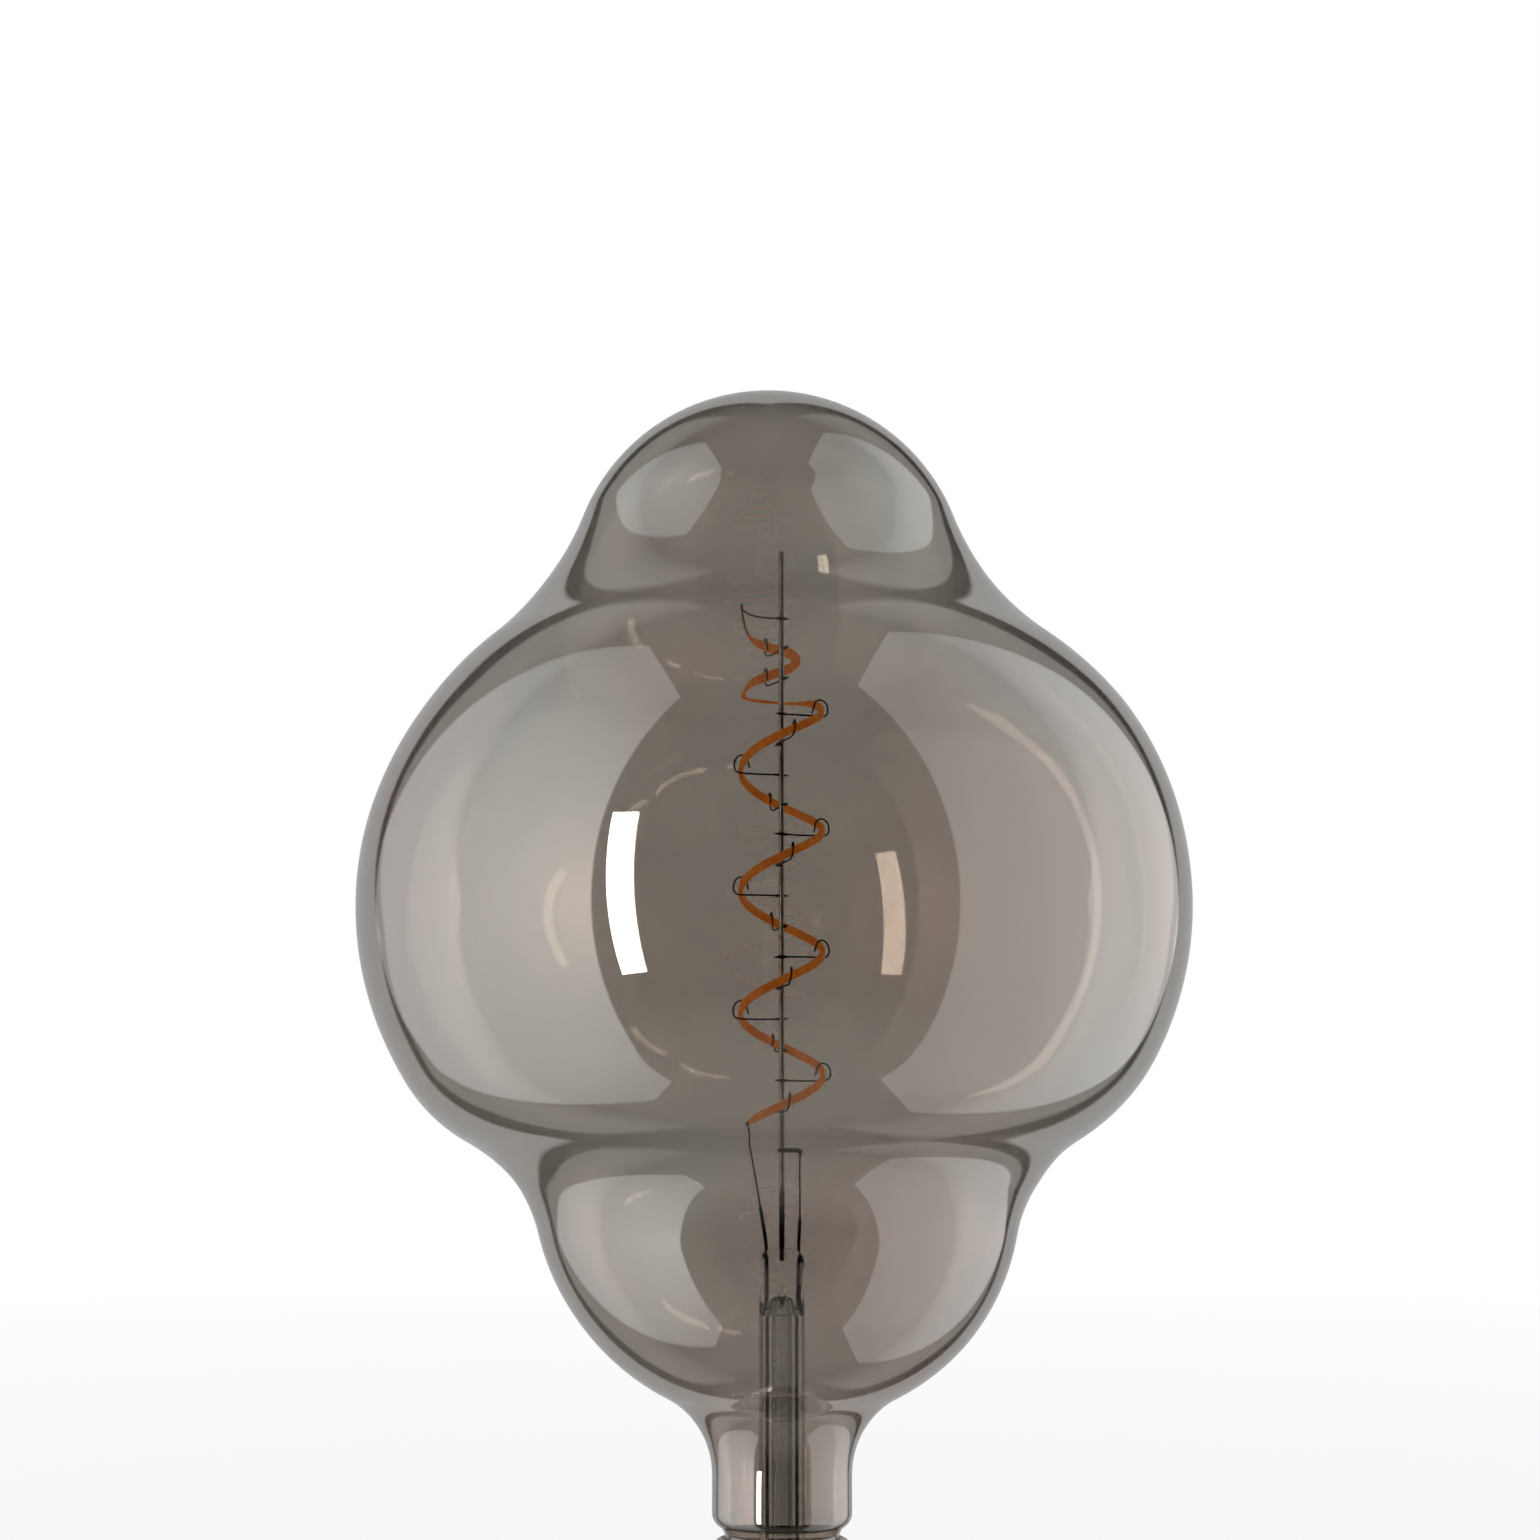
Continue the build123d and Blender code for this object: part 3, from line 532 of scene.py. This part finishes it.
strip = {
    "width": 1.8,
    "thickness": 0.95,
    "corner": 0.34,
    "coilRadius": 9.0,
    "coilPitch": 26.7,
    "coilTurns": 3.443,
    "coilTopAngle": 18.0,
    "coilFootAbovePress": 25.92,
    "firstRun": 4.4,
    "firstTurn": (35, 1.0, 0.9),
    "perTurn": 90,
    "perSpan": 12,
    "footTaper": 0.55,
    "footSteps": 4,
    # Each point of the loose end: outside the coil, angle, lift, roll, share of width and of thickness.
    "topEnd": [
        (1.2, 79.0, 2.3, 84, 1.0, 0.5),
        (0.6, 119.0, 2.6, 60, 1.0, 0.6),
        (0.8, 161.0, 2.2, 70, 0.9, 0.5),
        (-0.3, 144.0, 6.1, 25, 1.0, 0.8),
        (0.25, 113.0, 8.3, 0, 1.2, 1.0),
        (1.6, 69.5, 11.0, -15, 1.25, 1.0),
        (1.1, 73.4, 14.1, 0, 1.3, 1.0),
        (0.45, 113.0, 15.2, 10, 1.4, 0.9),
        (0.05, 156.6, 16.7, 30, 0.6, 0.5),
        (-0.1, 177.4, 22.6, 60, 0.25, 0.4),
    ],
}
coilHeight = strip["coilPitch"] * strip["coilTurns"]
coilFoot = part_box("stem_glass")[1].z / mm + strip["coilFootAbovePress"]
coilTop = coilFoot + coilHeight
stripSlope = math.atan(strip["coilPitch"] / (2 * math.pi * strip["coilRadius"]))


def roundedSection(width, height, corner, perCorner=4):
    # Points round a rectangle with rounded corners, as (across, up) pairs.
    section = []
    for index, (across, up) in enumerate(((1, 1), (-1, 1), (-1, -1), (1, -1))):
        center = Vector((across * (width / 2 - corner), up * (height / 2 - corner)))
        for place in range(perCorner):
            angle = math.radians(90 * index + 90 * place / (perCorner - 1))
            section.append(center + Vector((math.cos(angle), math.sin(angle))) * corner)
    return section


def splinePoints(control, perSpan):
    # A smooth quadratic curve guided by its control points, starting and ending on the outer ones.
    points = []
    for index in range(1, len(control) - 1):
        start = control[0] if index == 1 else (control[index - 1] + control[index]) / 2
        end = control[-1] if index == len(control) - 2 else (control[index] + control[index + 1]) / 2
        for place in range(perSpan):
            t = place / perSpan
            points.append(start * (1 - t) ** 2 + control[index] * 2 * t * (1 - t) + end * t * t)
    points.append(control[-1].copy())
    return points


def sweepRings(rings):
    # One closed skin over rings of points, with flat ends.
    points = [point for ring in rings for point in ring]
    count = len(rings[0])
    faces = []
    for row in range(len(rings) - 1):
        for turn in range(count):
            after = (turn + 1) % count
            first, second = row * count, (row + 1) * count
            faces.append((first + turn, second + turn, second + after, first + after))
    last = (len(rings) - 1) * count
    faces.append(tuple(range(count)))
    faces.append(tuple(last + turn for turn in reversed(range(count))))
    return points, faces


def runOf(centers):
    # The way that a line of points runs, at each of them.
    ways = []
    for index in range(len(centers)):
        before, after = centers[max(index - 1, 0)], centers[min(index + 1, len(centers) - 1)]
        ways.append((after - before).normalized())
    return ways


def makeStrip(size):
    centers, twists = [], []
    steps = round(size["perTurn"] * size["coilTurns"])
    for place in range(steps):
        angle = size["coilTopAngle"] - 360 * size["coilTurns"] * (1 - place / steps)
        centers.append(polar(size["coilRadius"], angle, coilFoot + coilHeight * place / steps))
        end = size["footTaper"] + (1 - size["footTaper"]) * smoothStep(place / size["footSteps"])
        twists.append(Vector((0, end, end)))
    start = polar(size["coilRadius"], size["coilTopAngle"], coilTop)
    way = (polar(1, size["coilTopAngle"] + 90, 0) + Vector((0, 0, math.tan(stripSlope)))).normalized()
    control = [start, start + way * size["firstRun"]]
    turns = [Vector((0, 1, 1)), Vector(size["firstTurn"])]
    for outside, angle, lift, roll, wide, thick in size["topEnd"]:
        control.append(polar(size["coilRadius"] + outside, angle, coilTop + lift))
        turns.append(Vector((roll, wide, thick)))
    centers += splinePoints(control, size["perSpan"])
    twists += splinePoints(turns, size["perSpan"])
    section = roundedSection(size["thickness"], size["width"], size["corner"])
    rings, lengths = [], []
    travelled = 0.0
    for index, (center, along) in enumerate(zip(centers, runOf(centers))):
        roll, wide, thick = twists[index]
        travelled += (center - centers[max(index - 1, 0)]).length
        outward = Vector((center.x, center.y, 0)).normalized()
        outward = (outward - along * outward.dot(along)).normalized()
        outward.rotate(Quaternion(along, math.radians(roll)))
        across = along.cross(outward)
        rings.append([center + outward * corner.x * thick + across * corner.y * wide for corner in section])
        lengths += [travelled] * len(section)
    points, faces = sweepRings(rings)
    piece = newPiece("filamentStrip", points, faces, "filament_coating")
    layer = piece.data.uv_layers.new(name="Strip")
    for loop in piece.data.loops:
        layer.data[loop.index].uv = ((travelled - lengths[loop.vertex_index]) * mm, 0.5)
    return piece


def makeTube(name, control, radiusAt, slot, perSpan=8, around=12):
    # A smooth round wire guided by its control points, its radius given point by point.
    centers = splinePoints([Vector(point) for point in control], perSpan)
    rings = []
    side = None
    for index, (center, along) in enumerate(zip(centers, runOf(centers))):
        if side is None:
            side = along.orthogonal()
        side = (side - along * side.dot(along)).normalized()
        other = along.cross(side)
        radius = radiusAt(index / (len(centers) - 1), center)
        ring = []
        for turn in range(around):
            angle = 2 * math.pi * turn / around
            ring.append(center + (side * math.cos(angle) + other * math.sin(angle)) * radius)
        rings.append(ring)
    points, faces = sweepRings(rings)
    return newPiece(name, points, faces, slot)


filamentStrip = makeStrip(strip)
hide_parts("led_filament")


# The bare tips where the chips' current comes in and goes out

tips = {
    "neck": 0.22,
    "inside": 0.5,
    "lower": {"radius": 0.5, "outside": 1.1},
    "upper": {"radius": 0.26, "outside": 0.9},
}


def makeTip(name, node, end, away, size):
    # A small crimped nub on the strip's end, narrowing away from it.
    reach = away * size["outside"]
    control = [end - away * tips["inside"], end, end + reach * 0.5, end + reach]

    def radiusAt(share, center):
        return tips["neck"] + (size["radius"] - tips["neck"]) * math.sin(math.pi * min(1, 0.25 + share * 0.75))

    tip = makeTube(name, control, radiusAt, "clip_metal")
    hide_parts(node)


footAngle = strip["coilTopAngle"] - 360 * strip["coilTurns"]
footEnd = polar(strip["coilRadius"], footAngle, coilFoot)
footAway = (polar(1, footAngle - 90, 0) - Vector((0, 0, math.tan(stripSlope)))).normalized()
topOutside, topAngle, topLift = strip["topEnd"][-1][:3]
topEnd = polar(strip["coilRadius"] + topOutside, topAngle, coilTop + topLift)
makeTip("lowerTip", "filament_clip_bottom", footEnd, footAway, tips["lower"])
makeTip("upperTip", "filament_clip_top", topEnd, Vector((0, 0, 1)), tips["upper"])
print("filament made:", len(filamentStrip.data.polygons), "faces")


# Support wires: welded to the rod's side, each looped by hand over the strip

hooks = {
    "radius": 0.2,
    "weldRadius": 0.42,
    "weldReach": 0.55,
    "besideRod": 0.8,
    "stub": 1.7,
    "step": 90.6,
    "count": 14,
    "upperAngle": 113.0,
    "upperCount": 2,
    "wander": 0.16,
    "seed": 7,
    # Points as if the wire pointed along X: out from the rod, across from the weld and up from it.
    "arm": [(0.0, 0.0, 0.0), (5.0, 0.0, 0.0), (9.4, 0.02, -0.02)],
    "loop": [(10.45, 0.2, 0.35), (10.8, 0.45, 1.9), (10.3, 0.75, 3.4)],
    "over": [(9.1, 0.9, 4.0), (8.0, 0.95, 3.4)],
    "prong": [(7.75, 1.05, 2.3), (7.45, 1.2, 1.0)],
    "topWire": [(1.7, 0.0, -0.1), (0.0, 0.0, 0.0), (-4.4, 0.1, 0.2), (-7.6, 0.5, 1.1)],
    "topWireDrop": 14.4,
    "topWireEnd": (0.1, -0.1, -0.4),
}


def hookRadius(share, center):
    # The drawn wire, swollen where it is welded to the rod.
    beside = math.hypot(center.x, center.y) - hooks["besideRod"]
    swelling = max(0.0, 1 - max(0.0, beside) / hooks["weldReach"]) ** 0.7
    return hooks["radius"] + (hooks["weldRadius"] - hooks["radius"]) * swelling


def hookPath(size, height, chance):
    # Out along the arm, round the outside of the strip, over it and down a short prong.
    def near(*shares):
        # A small chance move, drawn only where it has a share.
        reach = size["wander"]
        return Vector([chance.uniform(-reach, reach) * share if share else 0.0 for share in shares])

    weld = Vector((0, -size["besideRod"], height))
    parts = [[weld + Vector(point) for point in size[key]] for key in ("arm", "loop", "over", "prong")]
    arm, loop, over, prong = parts
    push = near(1, 0, 0)
    stub = weld - Vector((size["stub"], 0, 0)) + near(1, 0, 0.8)
    arm[1] += near(0, 0, 0.8)
    prong[0] += near(0, 1, 0)
    prong[1] += near(1, 2, 2)
    return [stub] + arm + [point + push for point in loop] + over + prong


def makeHooks(size):
    chance = random.Random(size["seed"])
    angles = [size["upperAngle"]] * size["upperCount"]
    angles += [strip["coilTopAngle"] - size["step"] * place for place in range(size["count"])]
    for number, angle in enumerate(angles, start=2):
        node = f"support_wire_{number:02d}"
        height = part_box(node)[0].z / mm + size["weldRadius"]
        turned = Matrix.Rotation(math.radians(angle), 4, "Z")
        path = [turned @ point for point in hookPath(size, height, chance)]
        hook = makeTube(f"hook_{number:02d}", path, hookRadius, "hook_wire")
        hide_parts(node)
    # The top wire only holds the strip's end.
    weld = Vector((0, -size["besideRod"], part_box("support_rod")[1].z / mm - size["topWireDrop"]))
    path = [weld + Vector(point) for point in size["topWire"]] + [topEnd + Vector(size["topWireEnd"])]
    topWire = makeTube("topWire", path, hookRadius, "hook_wire")
    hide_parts("support_wire_01")
    return len(angles) + 1


wireCount = makeHooks(hooks)
print("support wires made:", wireCount)


# Rod up the middle: bright drawn steel, its top end dressed round

rod = {"radius": 0.6, "rounding": 0.3, "steps": 40}


def makeRod(size):
    low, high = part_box("support_rod")
    foot, top = low.z / mm, high.z / mm
    path = [(0, 0, foot + (top - foot) * place / size["steps"]) for place in range(size["steps"])]
    path += [(0, 0, top - size["rounding"]), (0, 0, top - size["rounding"] * 0.3), (0, 0, top)]

    def radiusAt(share, center):
        worn = max(0.0, 1 - (top - center.z) / size["rounding"])
        return size["radius"] - size["rounding"] * (1 - math.sqrt(max(0.0, 1 - worn * worn)))

    piece = makeTube("centreRod", path, radiusAt, "rod_steel", perSpan=4, around=32)
    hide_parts("support_rod")


makeRod(rod)


# Strap from the rod to the right lead: a thick dark wire, bent down and drawn thin

strap = {"radius": 0.62, "thin": 0.21, "overhang": 0.9, "thinFrom": 0.45, "thinOver": 0.35}


def makeStrap(size):
    low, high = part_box("rod_strap")
    reach = sum(corner.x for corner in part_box("lead_wire_right")) / 2 / mm
    height, foot = high.z / mm - size["radius"], low.z / mm
    side = low.y / mm + size["radius"]
    path = [
        (-size["overhang"], side, height),
        (1.5, side, height + 0.05),
        (reach - 0.75, side + 0.1, height + 0.05),
        (reach + 0.15, side * 0.7, height - 0.25),
        (reach + 0.1, side * 0.3, height - 1.2),
        (reach, 0, foot + 0.4),
        (reach, 0, foot - 0.6),
    ]

    def radiusAt(share, center):
        thinned = smoothStep((share - size["thinFrom"]) / size["thinOver"])
        return size["radius"] + (size["thin"] - size["radius"]) * thinned

    piece = makeTube("rodStrap", path, radiusAt, "lead_wire")
    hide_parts("rod_strap")


makeStrap(strap)
print("rod and strap made")


# Studio: white round about, two tall soft panels, a slim bright lamp and a pale floor.
# Panel edges and hot spots are shares of the panels' reach, leans, fades and the floor are in metres,
# and the edges of the lit wall and of the canopy are slopes.

studio = {
    "panelReach": 1000.0,
    "panelMiddle": 160.0,
    "leftPanel": {"near": -1.25, "far": 1.0, "low": -2.65, "high": 2.5, "strength": 1.15, "hot": (-0.85, -0.1)},
    "rightPanel": {"near": -1.35, "far": 1.15, "low": -2.5, "high": 3.1, "strength": 0.95, "hot": (0.8, 0.1)},
    "leftLean": {"near": -0.95, "nearLean": 0.1, "far": 0.87, "farFrom": 0.3, "farLean": 0.38},
    "rightLean": {"near": -0.93, "nearLean": 0.12, "far": 1.08, "farFrom": 0.3, "farLean": 0.25},
    "panelFade": 1.9,
    "panelFloor": 0.3,
    "panelSoftness": 0.01,
    "coolBetween": (0.15, 0.8),
    "panelCool": (0.93, 1.0, 1.08),
    "panelWarm": (1.06, 0.98, 0.98),
    "slimLamp": {"angle": -38.7, "away": 1200.0, "width": 150.0, "low": -620.0, "high": 430.0, "strength": 8.0},
    "wallLeft": 1.05,
    "wallRight": 0.88,
    "wallTall": 1.75,
    "wallEdge": (0.96, 1.03),
    "wallStrength": 0.5,
    "gapEdge": (1.13, 1.2),
    "gapWidening": {"between": (0.5, 0.9), "by": 0.17},
    "canopyInside": (0.48, 0.62),
    "canopyTop": (1.7, 4.6),
    "canopy": 0.3,
    "overheadFrom": (0.8, 0.98),
    "overhead": 0.06,
    "underneathFrom": (-0.6, -0.95),
    "underneath": 0.1,
    "ambient": 0.35,
    "floorRadius": 4.0,
    "floorSides": 96,
    "floorShade": 0.16,
    "floorShadeReach": (0.15, 1.4),
}


def addPanel(name, center, facing, width, height, strength):
    # A rectangular lamp whose face has the given brightness, upright, facing a point.
    lamp = bpy.data.lights.new(name, "AREA")
    lamp.shape = "RECTANGLE"
    lamp.size, lamp.size_y = width * mm, height * mm
    lamp.energy = strength * math.pi * lamp.size * lamp.size_y
    panel = bpy.data.objects.new(name, lamp)
    panel.location = center * mm
    panel.rotation_mode = "QUATERNION"
    away = center - facing
    away.z = 0
    panel.rotation_quaternion = away.to_track_quat("Z", "Y")
    panel.visible_camera = False
    bpy.context.scene.collection.objects.link(panel)
    return lamp


def addSidePanel(name, side, size, lean):
    # A tall soft panel, brightest round one spot and fading evenly from it, its upright edges leaning.
    reach = studio["panelReach"]
    middle = Vector((side * reach, (size["near"] + size["far"]) / 2 * reach, 0))
    middle.z = studio["panelMiddle"] + (size["low"] + size["high"]) / 2 * reach
    facing = Vector((0, middle.y, middle.z))
    width, height = (size["far"] - size["near"]) * reach, (size["high"] - size["low"]) * reach
    lamp = addPanel(name, middle, facing, width, height, size["strength"])
    lamp.use_nodes = True
    tree = lamp.node_tree
    place = addNode(tree, "ShaderNodeNewGeometry").outputs["Position"]
    spot = Vector((side * reach, size["hot"][0] * reach, studio["panelMiddle"] + size["hot"][1] * reach)) * mm
    away = addNode(tree, "ShaderNodeVectorMath", {0: place, 1: tuple(spot)}, operation="DISTANCE").outputs["Value"]
    fade = calculate(tree, "EXPONENT", calculate(tree, "DIVIDE", away, -studio["panelFade"]))
    fade = calculate(tree, "MAXIMUM", fade, studio["panelFloor"])
    cool = mapRange(tree, away, *studio["coolBetween"], 0.0, 1.0)
    parts = addNode(tree, "ShaderNodeSeparateXYZ", {"Vector": place}).outputs
    upward = calculate(tree, "SUBTRACT", parts["Z"], studio["panelMiddle"] * mm)
    above = calculate(tree, "SUBTRACT", calculate(tree, "ABSOLUTE", upward), lean["farFrom"])
    above = calculate(tree, "MAXIMUM", above, 0.0)
    nearSide = calculate(tree, "ADD", parts["Y"], calculate(tree, "MULTIPLY", upward, lean["nearLean"]))
    farSide = calculate(tree, "ADD", parts["Y"], calculate(tree, "MULTIPLY", above, lean["farLean"]))
    soft = studio["panelSoftness"]
    started = mapRange(tree, nearSide, lean["near"] - soft, lean["near"] + soft, 0.0, 1.0)
    ended = mapRange(tree, farSide, lean["far"] - 2 * soft, lean["far"] + 2 * soft, 1.0, 0.0)
    fade = calculate(tree, "MULTIPLY", fade, calculate(tree, "MULTIPLY", started, ended))
    glow = tree.nodes["Emission"]
    tree.links.new(fade, glow.inputs["Strength"])
    colors = [(*studio[key], 1.0) for key in ("panelWarm", "panelCool")]
    tree.links.new(mixColor(tree, cool, colors[0], colors[1]), glow.inputs["Color"])


addSidePanel("leftPanel", -1, studio["leftPanel"], studio["leftLean"])
addSidePanel("rightPanel", 1, studio["rightPanel"], studio["rightLean"])
slim = studio["slimLamp"]
slimPlace = polar(slim["away"], slim["angle"] - 90, studio["panelMiddle"] + (slim["low"] + slim["high"]) / 2)
slimFacing = Vector((0, 0, slimPlace.z))
addPanel("slimLamp", slimPlace, slimFacing, slim["width"], slim["high"] - slim["low"], slim["strength"])


def makeWorld():
    # White straight behind and through the glass. In reflections a lit wall behind, a darker gap round it,
    # a canopy beyond the gap, and dim light from above and below.
    world = bpy.data.worlds.new("White studio")
    world.use_nodes = True
    bpy.context.scene.world = world
    tree = world.node_tree
    tree.nodes.clear()
    way = addNode(tree, "ShaderNodeTexCoord").outputs["Generated"]
    parts = addNode(tree, "ShaderNodeSeparateXYZ", {"Vector": way}).outputs
    back = calculate(tree, "MAXIMUM", parts["Y"], 0.001)
    sideways = calculate(tree, "DIVIDE", parts["X"], back)
    leftward = calculate(tree, "DIVIDE", sideways, -studio["wallLeft"])
    rightward = calculate(tree, "DIVIDE", sideways, studio["wallRight"])
    wide = calculate(tree, "MAXIMUM", leftward, rightward)
    upward = calculate(tree, "ABSOLUTE", calculate(tree, "DIVIDE", parts["Z"], back))
    reached = calculate(tree, "ADD", wide, calculate(tree, "DIVIDE", upward, studio["wallTall"]))
    wall = mapRange(tree, reached, *studio["wallEdge"], studio["wallStrength"], 0.0)
    widening = studio["gapWidening"]
    gap = mapRange(tree, upward, *widening["between"], 0.0, widening["by"])
    beyond = mapRange(tree, calculate(tree, "SUBTRACT", reached, gap), *studio["gapEdge"], 0.0, studio["canopy"])
    beyond = calculate(tree, "MULTIPLY", beyond, mapRange(tree, wide, *studio["canopyInside"], 0.0, 1.0))
    beyond = calculate(tree, "MULTIPLY", beyond, mapRange(tree, upward, *studio["canopyTop"], 1.0, 0.0))
    beyond = calculate(tree, "MULTIPLY", beyond, calculate(tree, "GREATER_THAN", parts["Y"], 0.01))
    wall = calculate(tree, "MAXIMUM", wall, beyond)
    over = mapRange(tree, parts["Z"], *studio["overheadFrom"], 0.0, studio["overhead"])
    under = mapRange(tree, parts["Z"], *studio["underneathFrom"], 0.0, studio["underneath"])
    reflected = calculate(tree, "MAXIMUM", wall, calculate(tree, "MAXIMUM", over, under))
    rays = addNode(tree, "ShaderNodeLightPath").outputs
    straight = calculate(tree, "MAXIMUM", rays["Is Camera Ray"], rays["Is Transmission Ray"])
    shown = calculate(tree, "MAXIMUM", straight, rays["Is Glossy Ray"])

    def either(factor, first, second):
        return addNode(tree, "ShaderNodeMix", {0: factor, 2: first, 3: second}, data_type="FLOAT").outputs[0]

    strength = either(shown, studio["ambient"], 1.0)
    strength = either(bounced(tree, "Glossy"), strength, reflected)
    strength = either(bounced(tree, "Diffuse"), strength, studio["ambient"])
    background = addNode(tree, "ShaderNodeBackground", {"Color": (1.0, 1.0, 1.0, 1.0), "Strength": strength})
    output = addNode(tree, "ShaderNodeOutputWorld")
    tree.links.new(background.outputs[0], output.inputs["Surface"])


def makeFloor():
    # Pale round the bulb, with its shadow, fading into the white, and not seen in the glass's reflections.
    material, tree, shader = newMaterial("Pale floor")
    place = addNode(tree, "ShaderNodeTexCoord").outputs["Object"]
    away = addNode(tree, "ShaderNodeVectorMath", {0: place}, operation="LENGTH").outputs["Value"]
    grain = noise(tree, place, 300.0, 3.0)
    tree.links.new(mixColor(tree, grain, rgb(246, 246, 246), rgb(250, 250, 250)), shader.inputs["Base Color"])
    setSockets(shader, Roughness=0.9, Specular_IOR_Level=0.0)
    rays = addNode(tree, "ShaderNodeLightPath").outputs
    seen = calculate(tree, "MAXIMUM", rays["Is Camera Ray"], rays["Is Transmission Ray"])
    seen = calculate(tree, "MAXIMUM", seen, rays["Is Glossy Ray"])
    near = mapRange(tree, away, *studio["floorShadeReach"], 1.0 - studio["floorShade"], 1.0)
    share = calculate(tree, "MULTIPLY", seen, near)
    white = addNode(tree, "ShaderNodeEmission", {"Color": (1.0, 1.0, 1.0, 1.0), "Strength": 1.0})
    mixed = addNode(tree, "ShaderNodeMixShader", {0: share, 1: shader.outputs[0], 2: white.outputs[0]})
    clear = addNode(tree, "ShaderNodeBsdfTransparent")
    choice = {0: bounced(tree, "Glossy"), 1: mixed.outputs[0], 2: clear.outputs[0]}
    unseen = addNode(tree, "ShaderNodeMixShader", choice)
    tree.links.new(unseen.outputs[0], tree.nodes["Material Output"].inputs["Surface"])
    mesh = bpy.data.meshes.new("floor")
    count = studio["floorSides"]
    rim = [polar(studio["floorRadius"], 360 * turn / count, 0) for turn in range(count)]
    mesh.from_pydata([tuple(point) for point in rim], [], [tuple(range(count))])
    mesh.materials.append(material)
    floor = bpy.data.objects.new("floor", mesh)
    bpy.context.scene.collection.objects.link(floor)
    floor.visible_glossy = False


makeWorld()
makeFloor()
print("studio set")


# Camera: a little below the belly, looking slightly up, the rod right of the middle

photo = {"size": 1540.0, "focal": 2340.0, "place": (-2.53, -509.0, 107.9), "lookUp": 9.2}
camera = bpy.data.objects.new("camera", bpy.data.cameras.new("camera"))
camera.data.sensor_width = 36.0
camera.data.lens = photo["focal"] / photo["size"] * camera.data.sensor_width
camera.data.clip_start = 0.01
camera.location = Vector(photo["place"]) * mm
camera.rotation_euler = (math.radians(90 + photo["lookUp"]), 0, 0)
bpy.context.scene.collection.objects.link(camera)
bpy.context.scene.camera = camera
bpy.context.scene.view_settings.view_transform = "Standard"
